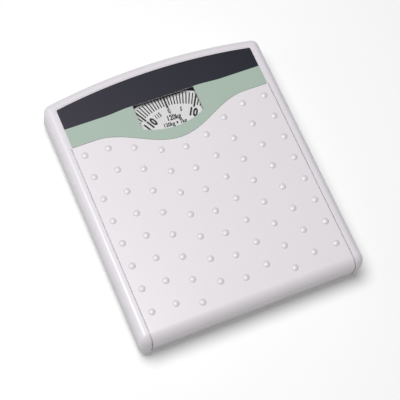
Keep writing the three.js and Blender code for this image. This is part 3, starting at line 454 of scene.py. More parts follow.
def make_finishes():
    """One material for each finish in the record, and the ink."""
    scene = bpy.context.scene
    tint = scene.scale_colours
    rear_y = FRAME_HIGH.y
    # The last value is how deep the painted shade on the frame's skirt goes.
    moulded_plastic("white_shell", tint.white_shell, 0.36, 0.4 * MM, 0.012 * MM, 0.15, 0.5)
    pearl_plastic("pearl_shell", tint.pearl_shell)
    printed_label("label_print", tint, scene.scale_label, rear_y)
    clear_plastic("clear_lens")
    printed_metal("dial_face", tint.dial_face, 0.45)
    printed_metal("dial_ink", tint.ink, 0.5)
    plated_metal("zinc_steel", tint.zinc_steel, 3 * MM, 0.3)
    plated_metal("spring_steel", tint.spring_steel, 1 * MM, 0.26)
    stoved_paint("pan_paint", tint.pan_paint)
    plated_metal("brass_work", tint.brass_work, 1.5 * MM, 0.25)
    moulded_plastic("grey_plastic", tint.grey_plastic, 0.45, 0.5 * MM, 0.03 * MM, 0.0)
    moulded_rubber("foot_rubber", tint.foot_rubber)


# ---- outlines --------------------------------------------------------------------------------

SIDE_STEPS = 8
CORNER_STEPS = 10
REAR_STEPS = 40
WAVE_STEPS = 56
WINDOW_STEPS = 28
WINDOW_CORNER = 0.8 * MM
# """Springs, each a coil wound from end to end of its part's box"""


def arc(centre, radius, start, end, steps):
    return [
        Vector((centre[0] + radius * math.cos(a), centre[1] + radius * math.sin(a)))
        for a in (start + (end - start) * i / steps for i in range(steps + 1))
    ]


def arc_centre_y():
    return FRAME_HIGH.y - bpy.context.scene.scale_cover.rear_arc


def domed_side(half, arc_radius, corner_radius, start_y):
    """Right half of an outline: up the straight side, round the corner, along the rear arc."""
    x = half - corner_radius
    rise = math.sqrt((arc_radius - corner_radius) ** 2 - x**2)
    corner_y = arc_centre_y() + rise
    lean = math.atan2(rise, x)
    step = (corner_y - start_y) / SIDE_STEPS
    side = [Vector((half, start_y + step * i)) for i in range(SIDE_STEPS)]
    corner = arc((x, corner_y), corner_radius, 0, lean, CORNER_STEPS)
    rear = arc((0, arc_centre_y()), arc_radius, lean, QUARTER, REAR_STEPS)
    return side + corner + rear[1:]


def both_sides(right):
    """Adds the mirrored left half to a right half that ends on the middle line."""
    return right + [mirrored(p) for p in reversed(right[:-1])]


def mirrored(point):
    return Vector((-point[0], *point[1:]))


def closed_outline(inset, corner):
    """The cover's whole plan, shrunk by inset, from the front middle round to the front again."""
    cover = bpy.context.scene.scale_cover
    half = FRAME_HIGH.x - inset
    front = FRAME_LOW.y + inset
    bend = arc((half - corner, front + corner), corner, -QUARTER, 0, CORNER_STEPS)
    side = domed_side(half, cover.rear_arc - inset, corner, front + corner)
    right = [Vector((0, front)), Vector((half / 2, front)), *bend[:-1], *side]
    whole = both_sides(right)
    return whole[:-1]


def wave_y(x):
    """The label's front edge: straight at the rails, with one smooth dip at the middle."""
    label = bpy.context.scene.scale_label
    share_out = min(abs(x) / label.dip_half, 1)
    side_y = FRAME_HIGH.y - label.side_depth
    return side_y - label.dip * (1 + math.cos(math.pi * share_out)) / 2


def label_outline(margin):
    cover = bpy.context.scene.scale_cover
    label = bpy.context.scene.scale_label
    shrink = cover.seam / 2 + label.border - margin
    half = FRAME_HIGH.x - cover.rail - shrink
    dip = [label.dip_half * (2 * i / WAVE_STEPS - 1) for i in range(WAVE_STEPS + 1)]
    wave = [Vector((x, wave_y(x) - margin)) for x in [-half, *dip]]
    radius = cover.rear_arc - cover.rear_rim - shrink
    rear = domed_side(half, radius, cover.tread_corner - shrink, wave[0].y)
    return wave + both_sides(rear)[:-1]


def window_outline(margin):
    label = bpy.context.scene.scale_label
    bow = label.window_bow
    arc_radius = (label.window_half**2 + bow**2) / (2 * bow)
    rear_y = FRAME_HIGH.y - label.window_inset
    centre_y = rear_y - label.window_depth + arc_radius
    half = label.window_half + margin
    spread = math.asin(half / (arc_radius + margin))
    start, end = -QUARTER - spread, -QUARTER + spread
    front = arc((0, centre_y), arc_radius + margin, start, end, WINDOW_STEPS)
    corner = WINDOW_CORNER + margin
    right = arc((half - corner, rear_y + margin - corner), corner, 0, QUARTER, 5)
    return front + right + [mirrored(p) for p in reversed(right)]


def ring(centre, radius, steps):
    return arc(centre, radius, 0, 2 * math.pi, steps)[:-1]


# ---- mesh helpers ----------------------------------------------------------------------------


def inside(point, outline):
    """Whether a plan point lies within a closed outline."""
    crossings = 0
    for i, here in enumerate(outline):
        last = outline[i - 1]
        if (here[1] > point.y) != (last[1] > point.y):
            share_up = (point.y - last[1]) / (here[1] - last[1])
            crossings += last[0] + (here[0] - last[0]) * share_up > point.x
    return crossings % 2 == 1


class Skin:
    """Points and faces gathered loop by loop, then merged into one mesh."""

    def __init__(self):
        self.points = []
        self.faces = []

    def loop(self, points, z=None):
        start = len(self.points)
        self.points += [Vector((p[0], p[1], p[2] if z is None else z)) for p in points]
        return list(range(start, len(self.points)))

    def bridge(self, first, second, closed=False):
        size = len(first)
        for i in range(size if closed else size - 1):
            j = (i + 1) % size
            self.faces.append((first[i], first[j], second[j], second[i]))

    def stack(self, loops, closed=False):
        for first, second in zip(loops, loops[1:]):
            self.bridge(first, second, closed)

    def fill(self, outer, holes, z):
        """Fills a flat region between its outline and its holes, all lists of plan points."""
        points, edges = [], []
        for outline in [outer, *holes]:
            first = len(points)
            points += [Vector(p[:2]) for p in outline]
            size = len(outline)
            edges += [(first + i, first + (i + 1) % size) for i in range(size)]
        corners, _, triangles = delaunay_2d_cdt(points, edges, [], 1, 1e-9)[:3]
        start = len(self.points)
        self.points += [Vector((p.x, p.y, z)) for p in corners]
        for triangle in triangles:
            middle = sum((corners[i] for i in triangle), Vector((0, 0))) / 3
            if inside(middle, outer) and not any(inside(middle, hole) for hole in holes):
                self.faces.append(tuple(start + i for i in triangle))

    def body(self, name, turned_in=False):
        """A mesh object with doubles merged and faces turned outwards."""
        mesh = bpy.data.meshes.new(name)
        mesh.from_pydata(self.points, [], self.faces)
        work = bmesh.new()
        work.from_mesh(mesh)
        bmesh.ops.remove_doubles(work, verts=work.verts, dist=0.002 * MM)
        bmesh.ops.dissolve_degenerate(work, edges=work.edges, dist=0.002 * MM)
        bmesh.ops.recalc_face_normals(work, faces=work.faces)
        upward = sum(f.normal.z * f.calc_area() for f in work.faces)
        if any(e.is_boundary for e in work.edges) and (upward < 0) != turned_in:
            bmesh.ops.reverse_faces(work, faces=work.faces)
        work.to_mesh(mesh)
        work.free()
        item = bpy.data.objects.new(name, mesh)
        bpy.context.scene.collection.objects.link(item)
        return item


def lathe(skin, profile, centre, steps):
    """A closed turned body about Z. The profile is a closed list of (radius, height)."""
    loops = [skin.loop(ring(centre, max(r, 1e-7), steps), z) for r, z in profile]
    skin.stack(loops + loops[:1], closed=True)


def thicken(item, wall):
    solid = item.modifiers.new("wall", "SOLIDIFY")
    solid.thickness = wall
    solid.offset = -1
    solid.use_even_offset = True


def settle(item, angle=math.radians(38)):
    """Applies the modifiers and smooths all but the sharp edges."""
    item.data = evaluated_mesh(item)
    item.data.shade_smooth()
    item.data.set_sharp_from_angle(angle=angle)
    weighted = item.modifiers.new("flat", "WEIGHTED_NORMAL")
    weighted.keep_sharp = True
    item.data = evaluated_mesh(item)
    item.data.name = item.name


def evaluated_mesh(item):
    """The mesh that the object's modifiers give. The modifiers are taken off."""
    graph = bpy.context.evaluated_depsgraph_get()
    graph.update()
    mesh = bpy.data.meshes.new_from_object(item.evaluated_get(graph))
    item.modifiers.clear()
    return mesh


def hand_over(item, finish, body, nodes=()):
    """Gives a finished piece its material, its body and the nodes that it stands for."""
    item.data.materials.clear()
    item.data.materials.append(finish_of(finish))
    if body:
        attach(item, body)
    if nodes:
        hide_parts(*nodes)


# ---- the cover -------------------------------------------------------------------------------


LEDGE_OVER_PAN = 2 * MM
LEDGE_CORNER = 1.5 * MM
TREAD_WALL = 1.1 * MM
TREAD_COLUMNS = 36
EDGE_REACH = 0.3 * MM
BED_CHAMFER = 0.12 * MM


def round_inset(radius, drop):
    """How far in a quarter round of that radius lies, at a drop below its top."""
    rest = max(radius - drop, 0.0)
    return radius - math.sqrt(radius**2 - rest**2)


def edge_drops(bottom_z):
    """Heights of the cover's edge loops below its top, from the skirt's edge upwards."""
    cover = bpy.context.scene.scale_cover
    full = FRAME_HIGH.z - bottom_z
    roll = cover.front_roll
    skirt = [full, full * 0.75 + roll * 0.25, (full + roll) / 2, full * 0.25 + roll * 0.75]
    lower = [roll * (1 - math.cos(math.radians(a))) for a in (90, 82, 74)]
    upper = [cover.edge_round * (1 - math.cos(math.radians(a))) for a in range(90, -1, -6)]
    return skirt + lower + upper


def front_stations(bottom_z):
    """(y, z, forward, up) up the front's profile: places and outward directions."""
    cover = bpy.context.scene.scale_cover
    roll = cover.front_roll
    stations = []
    for drop in edge_drops(bottom_z):
        up = max(1 - drop / roll, 0.0)
        forward = math.sqrt(1 - up**2)
        y = FRAME_LOW.y + round_inset(roll, drop)
        stations.append((y, FRAME_HIGH.z - drop, forward, up))
    return stations


def lip_loop(half, arc_radius, corner, depth, stations, first=0):
    """A loop up one front edge, round the sides and rear, and down the other front edge."""
    cover = bpy.context.scene.scale_cover
    rise = [
        Vector((half, y + depth * forward, z - depth * up)) for y, z, forward, up in stations
    ]
    start_y = FRAME_LOW.y + cover.front_roll
    plan = domed_side(half, arc_radius, corner, start_y)
    right = rise[first:-1] + [Vector((*p, FRAME_HIGH.z - depth)) for p in plan]
    return both_sides(right)


def lip_rounds(radius):
    """(distance past the flat, depth) round a small lip."""
    angles = [math.radians(a) for a in (0, 22.5, 45, 67.5, 90)]
    return [(radius * math.sin(a), radius * (1 - math.cos(a))) for a in angles]


def frame_ring(drop):
    """The frame's outer edge at one height, from the right front seam round to the left one."""
    cover = bpy.context.scene.scale_cover
    side = round_inset(cover.edge_round, drop)
    front = round_inset(cover.front_roll, drop)
    half, corner = FRAME_HIGH.x, cover.corner
    inner = half - cover.rail + cover.seam / 2 + cover.rail_lip
    front_y = FRAME_LOW.y + front
    reach_y = max(corner * (1 - front / cover.front_roll), 0.02 * MM)
    reach_x = corner - side
    centre = Vector((half - corner, front_y + reach_y))
    straight = [Vector((inner, front_y)), Vector(((inner + centre.x) / 2, front_y))]
    bend = [
        centre + Vector((reach_x * math.cos(a), reach_y * math.sin(a)))
        for a in (-QUARTER + QUARTER * i / CORNER_STEPS for i in range(CORNER_STEPS))
    ]
    rest = domed_side(half - side, cover.rear_arc - side, corner - side, centre.y)
    return both_sides(straight + bend + rest)


class SCALE_OT_frame(bpy.types.Operator):
    """White frame: two side rails and the rear rim, with their skirts and the ledge"""

    bl_idname = "scale.make_frame"
    bl_label = "Frame"

    def execute(self, context):
        cover = context.scene.scale_cover
        top = FRAME_HIGH.z
        skin = Skin()
        drops = edge_drops(FRAME_LOW.z)
        skin.stack([skin.loop(frame_ring(d), top - d) for d in drops])
        half = FRAME_HIGH.x - cover.rail + cover.seam / 2
        radius = cover.rear_arc - cover.rear_rim + cover.seam / 2
        corner = cover.tread_corner + cover.seam / 2
        lip = cover.rail_lip
        start_y = FRAME_LOW.y + cover.front_roll
        outer = frame_ring(0)
        lead = len(outer) // 2 - (SIDE_STEPS + CORNER_STEPS + REAR_STEPS)
        inner = domed_side(half + lip, radius + lip, corner + lip, start_y)
        inner_ring = both_sides([inner[0]] * lead + inner)
        skin.bridge(skin.loop(outer, top), skin.loop(inner_ring, top))
        stations = front_stations(FRAME_LOW.z)
        loops = []
        for past, depth in lip_rounds(lip):
            out = lip - past
            points = lip_loop(half + out, radius + out, corner + out, depth, stations)
            loops.append(skin.loop(points))
        deep = cover.seam_depth
        loops.append(skin.loop(lip_loop(half, radius, corner, deep, stations)))
        skin.stack(loops)
        ledge_z = PAN_HIGH.z + LEDGE_OVER_PAN
        first = next(i for i, s in enumerate(stations) if s[1] >= ledge_z)
        near = skin.loop(lip_loop(half, radius, corner, deep, stations, first))
        width = cover.ledge
        far = lip_loop(half - width, radius - width, LEDGE_CORNER, deep, stations, first)
        skin.bridge(near, skin.loop(far))
        item = skin.body("frame_shell")
        thicken(item, cover.wall)
        settle(item)
        hand_over(item, "white_shell", "platform", ["top_frame"])
        return {"FINISHED"}


class SCALE_OT_tread(bpy.types.Operator):
    """Tread plate, rolled down at the front, with the label's bed and the window opening"""

    bl_idname = "scale.make_tread"
    bl_label = "Tread"

    def execute(self, context):
        cover = context.scene.scale_cover
        label = context.scene.scale_label
        top = FRAME_HIGH.z
        half = FRAME_HIGH.x - cover.rail - cover.seam / 2
        radius = cover.rear_arc - cover.rear_rim - cover.seam / 2
        corner = cover.tread_corner - cover.seam / 2
        lip = cover.tread_lip
        stations = front_stations(TREAD_LOW.z)
        skin = Skin()
        loops = []
        for past, depth in lip_rounds(lip):
            back = lip - past
            points = lip_loop(half - back, radius - back, corner - back, depth, stations)
            loops.append(skin.loop(points))
        edge_depth = cover.wall + EDGE_REACH
        loops.append(skin.loop(lip_loop(half, radius, corner, edge_depth, stations)))
        skin.stack(loops)
        flat = half - lip
        across = [flat * (2 * i / TREAD_COLUMNS - 1) for i in range(TREAD_COLUMNS + 1)]
        rows = [skin.loop([(x, y, z) for x in across]) for y, z, _, _ in stations]
        skin.stack(rows)
        start_y = FRAME_LOW.y + cover.front_roll
        rim = both_sides(domed_side(flat, radius - lip, corner - lip, start_y))
        bed = label_outline(label.gap)
        bed_top = label_outline(label.gap + BED_CHAMFER)
        skin.fill([(x, start_y) for x in across[:-1]] + rim[:-1], [bed_top], top)
        bed_z = top - label.recess
        opening = window_outline(label.gap)
        steps = [(bed_top, top), (bed, top - BED_CHAMFER), (bed, bed_z)]
        skin.stack([skin.loop(o, z) for o, z in steps], closed=True)
        skin.fill(bed, [opening], bed_z)
        skin.bridge(skin.loop(opening, bed_z), skin.loop(opening, top - edge_depth), closed=True)
        item = skin.body("tread_plate")
        thicken(item, TREAD_WALL)
        settle(item)
        hand_over(item, "pearl_shell", "platform", ["tread_panel"])
        return {"FINISHED"}


def geometry_tree(name, sockets):
    """A geometry node group with named inputs. Returns the helper, its input and its output."""
    group = bpy.data.node_groups.new(name, "GeometryNodeTree")
    group.interface.new_socket("Geometry", in_out="OUTPUT", socket_type="NodeSocketGeometry")
    group.interface.new_socket("Geometry", in_out="INPUT", socket_type="NodeSocketGeometry")
    for title, kind in sockets:
        group.interface.new_socket(title, in_out="INPUT", socket_type=kind)
    tree = Tree(group)
    given = tree.add("NodeGroupInput")
    result = tree.add("NodeGroupOutput")
    return group, tree, given, result


def close_tree(tree, geometry, given, result):
    """Ends a tree in Realize Instances and Set Material."""
    real = tree.add("GeometryNodeRealizeInstances", {0: geometry})
    named = {"Geometry": real.outputs[0], "Material": given.outputs["Material"]}
    painted = tree.add("GeometryNodeSetMaterial", named)
    tree.tree.links.new(painted.outputs[0], result.inputs[0])


def grow(item, group, values):
    """Runs a node group on an object with the given inputs, and leaves a plain mesh."""
    modifier = item.modifiers.new(group.name, "NODES")
    modifier.node_group = group
    for socket in group.interface.items_tree:
        if socket.item_type == "SOCKET" and socket.in_out == "INPUT" and socket.name in values:
            modifier[socket.identifier] = values[socket.name]
    item.data = evaluated_mesh(item)
    item.data.name = item.name


def scatter(name, points):
    """An object that holds loose points, for a node group to build on."""
    mesh = bpy.data.meshes.new(name)
    mesh.from_pydata([Vector(p) for p in points], [], [])
    item = bpy.data.objects.new(name, mesh)
    bpy.context.scene.collection.objects.link(item)
    return item


def dome_group():
    """Low domes with a flared rim on every point. A negative height hangs them downwards."""
    sockets = [
        ("Radius", "NodeSocketFloat"),
        ("Height", "NodeSocketFloat"),
        ("Material", "NodeSocketMaterial"),
    ]
    group, tree, given, result = geometry_tree("raised_domes", sockets)
    cone = tree.add(
        "GeometryNodeMeshCone",
        {
            "Vertices": 28,
            "Side Segments": 7,
            "Radius Top": 0.0,
            "Radius Bottom": given.outputs["Radius"],
            "Depth": 0.1 * MM,
        },
    )
    spot = tree.add("ShaderNodeSeparateXYZ", {0: tree.add("GeometryNodeInputPosition").outputs[0]})
    x_part = tree.math("POWER", spot.outputs[0], 2.0)
    y_part = tree.math("POWER", spot.outputs[1], 2.0)
    out = tree.math("SQRT", tree.math("ADD", x_part, y_part))
    ratio = tree.math("DIVIDE", out, given.outputs["Radius"])
    fall = tree.math("SUBTRACT", 1.0, tree.math("POWER", ratio, 2.0))
    bulge = tree.math("POWER", tree.math("MAXIMUM", fall, 0.0), 1.2)
    sunk = tree.math("SUBTRACT", tree.math("MULTIPLY", bulge, 1.04), 0.04)
    height = tree.math("MULTIPLY", sunk, given.outputs["Height"])
    moved = {0: spot.outputs[0], 1: spot.outputs[1], 2: height}
    place = tree.add("ShaderNodeCombineXYZ", moved).outputs[0]
    dome = tree.add("GeometryNodeSetPosition", {"Geometry": cone.outputs[0], "Position": place})
    copies = tree.add(
        "GeometryNodeInstanceOnPoints",
        {"Points": given.outputs["Geometry"], "Instance": dome.outputs[0]},
    )
    close_tree(tree, copies.outputs[0], given, result)
    return group


def dot_places():
    cover = bpy.context.scene.scale_cover
    dots = bpy.context.scene.scale_dots
    seam_x = FRAME_HIGH.x - cover.rail
    reach = int((seam_x - dots.from_side) / dots.pitch_x)
    places = []
    for column in range(-reach, reach + 1):
        x = column * dots.pitch_x
        y = wave_y(x) - dots.from_label
        while y > FRAME_LOW.y + dots.from_front:
            places.append((x, y, FRAME_HIGH.z))
            y -= dots.pitch_y
    return places


class SCALE_OT_dots(bpy.types.Operator):
    """Raised dots on the tread, in columns that follow the label's wave"""

    bl_idname = "scale.make_dots"
    bl_label = "Raised dots"

    def execute(self, context):
        dots = context.scene.scale_dots
        item = scatter("tread_dots", dot_places())
        finish = finish_of("pearl_shell")
        grow(
            item,
            dome_group(),
            {"Radius": dots.radius, "Height": dots.height - 0.02 * MM, "Material": finish},
        )
        outward(item)
        item.data.shade_smooth()
        hand_over(item, "pearl_shell", "platform", ["tread_panel"])
        return {"FINISHED"}


def outward(item):
    """Merges doubles and turns the faces of closed bodies outwards."""
    work = bmesh.new()
    work.from_mesh(item.data)
    bmesh.ops.remove_doubles(work, verts=work.verts, dist=0.0005 * MM)
    bmesh.ops.recalc_face_normals(work, faces=work.faces)
    work.to_mesh(item.data)
    work.free()


# ---- label, window and dial ------------------------------------------------------------------


def flat_sheet(name, outer, holes, low, high, edge):
    """A thin sheet between two heights, with a small chamfer round its upper edges."""
    skin = Skin()
    outlines = [outer, *holes]
    tops = [shrunk(o, edge if i == 0 else -edge) for i, o in enumerate(outlines)]
    skin.fill(tops[0], tops[1:], high)
    skin.fill(outlines[0], outlines[1:], low)
    for outline, top in zip(outlines, tops):
        loops = [skin.loop(outline, low), skin.loop(outline, high - edge), skin.loop(top, high)]
        skin.stack(loops, closed=True)
    return skin.body(name)


def shrunk(outline, distance):
    """An outline moved inwards, or outwards if the distance is negative."""
    size = len(outline)
    flat = [Vector(p[:2]) for p in outline]
    area = sum(flat[i - 1].cross(flat[i]) for i in range(size))
    turn = 1 if area > 0 else -1
    moved = []
    for i in range(size):
        before = (flat[i] - flat[i - 1]).normalized()
        after = (flat[(i + 1) % size] - flat[i]).normalized()
        normal = Vector((-(before.y + after.y), before.x + after.x)) * turn
        spread = max(normal.length_squared / 2, 0.3)
        moved.append(flat[i] + normal * (distance / spread))
    return moved


class SCALE_OT_label(bpy.types.Operator):
    """Printed label film round the window"""

    bl_idname = "scale.make_label"
    bl_label = "Label"

    def execute(self, context):
        label = context.scene.scale_label
        hole = window_outline(label.gap)
        item = flat_sheet(
            "label_film", label_outline(0), [hole], LABEL_LOW.z, LABEL_HIGH.z, 0.05 * MM
        )
        settle(item)
        hand_over(item, "label_print", "platform", ["fascia_label"])
        return {"FINISHED"}


FLANGE = 2 * MM
PANE_CHAMFER = 0.25 * MM

# The reading line's two ends, from the window's rear edge.
LINE_REAR = 0.6 * MM
LINE_FRONT = 22.5 * MM


class SCALE_OT_window(bpy.types.Operator):
    """Clear lens with its flange, and the reading line printed on it"""

    bl_idname = "scale.make_window"
    bl_label = "Window"

    def execute(self, context):
        label = context.scene.scale_label
        flange = window_outline(label.lens_lip)
        boss = window_outline(0)
        flange_z = LENS_LOW.z + FLANGE
        skin = Skin()
        skin.fill(flange, [], LENS_LOW.z)
        skin.fill(flange, [boss], flange_z)
        skin.bridge(skin.loop(flange, LENS_LOW.z), skin.loop(flange, flange_z), closed=True)
        crown = shrunk(boss, PANE_CHAMFER)
        rise = [(boss, flange_z), (boss, LENS_HIGH.z - PANE_CHAMFER), (crown, LENS_HIGH.z)]
        skin.stack([skin.loop(o, z) for o, z in rise], closed=True)
        skin.fill(crown, [], LENS_HIGH.z)
        item = skin.body("window_pane")
        settle(item)
        hand_over(item, "clear_lens", "platform", ["window_lens"])
        rear_y = FRAME_HIGH.y - label.window_inset
        half = label.hairline / 2
        near, far = rear_y - LINE_FRONT, rear_y - LINE_REAR
        line = [(-half, near), (half, near), (half, far), (-half, far)]
        base_z = LENS_HIGH.z - 0.01 * MM
        mark = flat_sheet("reading_line", line, [], base_z, LENS_HIGH.z + 0.03 * MM, 0.01 * MM)
        settle(mark)
        hand_over(mark, "dial_ink", "platform")
        return {"FINISHED"}


def dial_centre():
    return Vector(((HUB_LOW.x + HUB_HIGH.x) / 2, (HUB_LOW.y + HUB_HIGH.y) / 2, DISC_HIGH.z))


def mark_group():
    """Flat bars set round a circle, each pointing at its centre, with some left out."""
    sockets = [
        ("Count", "NodeSocketInt"),
        ("Cycle", "NodeSocketInt"),
        ("Keep Above", "NodeSocketFloat"),
        ("Inner Radius", "NodeSocketFloat"),
        ("Outer Radius", "NodeSocketFloat"),
        ("Width", "NodeSocketFloat"),
        ("Thickness", "NodeSocketFloat"),
        ("Centre", "NodeSocketVector"),
        ("Turn", "NodeSocketFloat"),
        ("Material", "NodeSocketMaterial"),
    ]
    group, tree, given, result = geometry_tree("marks_on_circle", sockets)
    inner, outer = given.outputs["Inner Radius"], given.outputs["Outer Radius"]
    middle = tree.math("MULTIPLY", tree.math("ADD", inner, outer), 0.5)
    long_side = tree.math("SUBTRACT", outer, inner)
    size = {0: long_side, 1: given.outputs["Width"], 2: given.outputs["Thickness"]}
    bar = tree.add(
        "GeometryNodeMeshCube", {"Size": tree.add("ShaderNodeCombineXYZ", size).outputs[0]}
    )
    circle = tree.add(
        "GeometryNodeMeshCircle", {"Vertices": given.outputs["Count"], "Radius": middle}
    )
    index = tree.add("GeometryNodeInputIndex").outputs[0]
    turn = tree.math("DIVIDE", 2 * math.pi, given.outputs["Count"])
    angle = tree.math("MULTIPLY", index, turn)
    turned = tree.add("ShaderNodeCombineXYZ", {2: angle}).outputs[0]
    left_over = tree.math("MODULO", index, given.outputs["Cycle"])
    kept = tree.math("GREATER_THAN", left_over, given.outputs["Keep Above"])
    copies = tree.add(
        "GeometryNodeInstanceOnPoints",
        {
            "Points": circle.outputs[0],
            "Selection": kept,
            "Instance": bar.outputs[0],
            "Rotation": turned,
        },
    )
    moved = tree.add(
        "GeometryNodeTransform",
        {
            "Geometry": copies.outputs[0],
            "Translation": given.outputs["Centre"],
            "Rotation": tree.add("ShaderNodeCombineXYZ", {2: given.outputs["Turn"]}).outputs[0],
        },
    )
    close_tree(tree, moved.outputs[0], given, result)
    return group


def printed_text(words, height, narrow, spot, angle, heavy):
    """A mesh of thin printed words, centred on spot and turned by angle about Z."""
    curve = bpy.data.curves.new("words", "FONT")
    curve.body = words
    curve.size = height * 1.37
    curve.align_x = "CENTER"
    curve.align_y = "CENTER"
    curve.offset = heavy
    curve.extrude = bpy.context.scene.scale_dial.ink / 2
    curve.resolution_u = 4
    item = bpy.data.objects.new("words", curve)
    bpy.context.scene.collection.objects.link(item)
    graph = bpy.context.evaluated_depsgraph_get()
    graph.update()
    mesh = bpy.data.meshes.new_from_object(item.evaluated_get(graph))
    bpy.data.objects.remove(item)
    place = Matrix.Translation(spot) @ Matrix.Rotation(angle, 4, "Z")
    mesh.transform(place @ Matrix.Diagonal((narrow, 1, 1, 1)))
    return mesh


NARROWING = 0.74
LARGE_WEIGHT = 0.075
SMALL_WEIGHT = 0.045

# The two lines under the nought: ending, height, radius, turn, narrowing and weight.
CAPACITY_LINES = (
    ("kg", 6.0 * MM, 41.2 * MM, -0.05, 0.78, 0.30 * MM),
    ("kg × 1kg", 4.4 * MM, 34.4 * MM, -0.03, 0.85, 0.22 * MM),
)


def dial_words():
    """(words, height, radius, turn, narrowing, weight) of all that is printed on the dial."""
    dial = bpy.context.scene.scale_dial
    step = 2 * math.pi / dial.capacity
    words = []
    for value in range(5, dial.capacity, 5):
        large = value % dial.bold_every == 0
        height = dial.large_text if large else dial.small_text
        radius = dial.large_radius if large else dial.small_radius
        weight = height * (LARGE_WEIGHT if large else SMALL_WEIGHT)
        words.append((str(value), height, radius, -value * step, NARROWING, weight))
    small = dial.small_text
    words.append(("0", small, dial.nought_radius, 0, NARROWING, small * SMALL_WEIGHT))
    for ending, *place in CAPACITY_LINES:
        words.append((f"{dial.capacity}{ending}", *place))
    return words


class SCALE_OT_dial(bpy.types.Operator):
    """Dial disc with its marks and numbers"""

    bl_idname = "scale.make_dial"
    bl_label = "Dial"

    def execute(self, context):
        dial = context.scene.scale_dial
        centre = dial_centre()
        low, high = DISC_LOW.z, DISC_HIGH.z
        outer = (DISC_HIGH.x - DISC_LOW.x) / 2
        bore = HUB_HIGH.x - centre.x + 0.3 * MM
        edge = 0.2 * MM
        skin = Skin()
        profile = [(bore, low), (outer - edge, low), (outer, low + edge), (outer, high - edge)]
        profile += [(outer - edge, high), (bore, high)]
        lathe(skin, profile, centre, 180)
        disc = skin.body("dial_plate")
        settle(disc, math.radians(50))
        hand_over(disc, "dial_face", "dial", ["dial_disc"])

        ink = finish_of("dial_ink")
        group = mark_group()
        shared = {"Outer Radius": dial.mark_outer, "Thickness": 2 * dial.ink, "Material": ink}
        shared |= {"Centre": tuple(centre), "Turn": -dial.print_turn}
        fine = {"Count": dial.capacity, "Cycle": dial.bold_every, "Keep Above": 0.5}
        fine |= {"Inner Radius": dial.mark_inner, "Width": dial.mark_width}
        marks = scatter("dial_marks", [])
        grow(marks, group, shared | fine)
        outward(marks)
        hand_over(marks, "dial_ink", "dial")
        bold = {"Count": dial.capacity // dial.bold_every, "Cycle": 1, "Keep Above": -0.5}
        bold |= {"Inner Radius": dial.bold_inner, "Width": dial.bold_width}
        bold_marks = scatter("dial_bold_marks", [])
        grow(bold_marks, group, shared | bold)
        outward(bold_marks)
        hand_over(bold_marks, "dial_ink", "dial")

        print_skin = bmesh.new()
        for words, height, radius, place, narrow, heavy in dial_words():
            angle = place - dial.print_turn
            spot = centre + Vector((-math.sin(angle), math.cos(angle), 0)) * radius
            mesh = printed_text(words, height, narrow, spot, angle, heavy)
            print_skin.from_mesh(mesh)
            bpy.data.meshes.remove(mesh)
        mesh = bpy.data.meshes.new("dial_numbers")
        print_skin.to_mesh(mesh)
        print_skin.free()
        numbers = bpy.data.objects.new("dial_numbers", mesh)
        context.scene.collection.objects.link(numbers)
        outward(numbers)
        hand_over(numbers, "dial_ink", "dial")
        return {"FINISHED"}


# ---- base ------------------------------------------------------------------------------------


def rounded_rectangle(x0, x1, y0, y1, radius):
    corners = [(x1, y0, -QUARTER), (x1, y1, 0), (x0, y1, QUARTER), (x0, y0, math.pi)]
    outline = []
    for x, y, start in corners:
        centre = (x - math.copysign(radius, x - (x0 + x1) / 2), 0)
        centre = (centre[0], y - math.copysign(radius, y - (y0 + y1) / 2))
        outline += arc(centre, radius, start, start + QUARTER, 6)
    return outline


def cutter_from(work):
    mesh = bpy.data.meshes.new("cutter")
    work.to_mesh(mesh)
    work.free()
    item = bpy.data.objects.new("cutter", mesh)
    bpy.context.scene.collection.objects.link(item)
    return item


def block(low, high):
    """A box between two corners, to cut with."""
    work = bmesh.new()
    place = Matrix.Translation((low + high) / 2) @ Matrix.Diagonal((*(high - low), 1))
    bmesh.ops.create_cube(work, size=1, matrix=place)
    return cutter_from(work)


def rod_along_y(middle, radius, reach):
    """A round rod along Y, to cut with."""
    work = bmesh.new()
    place = Matrix.Translation(middle) @ Matrix.Rotation(QUARTER, 4, "X")
    bmesh.ops.create_cone(
        work, cap_ends=True, segments=32, radius1=radius, radius2=radius, depth=reach, matrix=place
    )
    return cutter_from(work)


# Pressed beads in the pan's floor: left, right, front, rear and corner radius.
BEADS = (
    (-62 * MM, 62 * MM, -122 * MM, -42 * MM, 12 * MM),
    (-56 * MM, -30 * MM, -20 * MM, 40 * MM, 8 * MM),
    (30 * MM, 56 * MM, -20 * MM, 40 * MM, 8 * MM),
)
BEAD_WIDTH = 6 * MM
BEAD_STEPS = 8
SLOT_MARGIN = 1 * MM
SPINDLE_HOLE = 2.5 * MM
RIVET_HEIGHT = 0.8 * MM


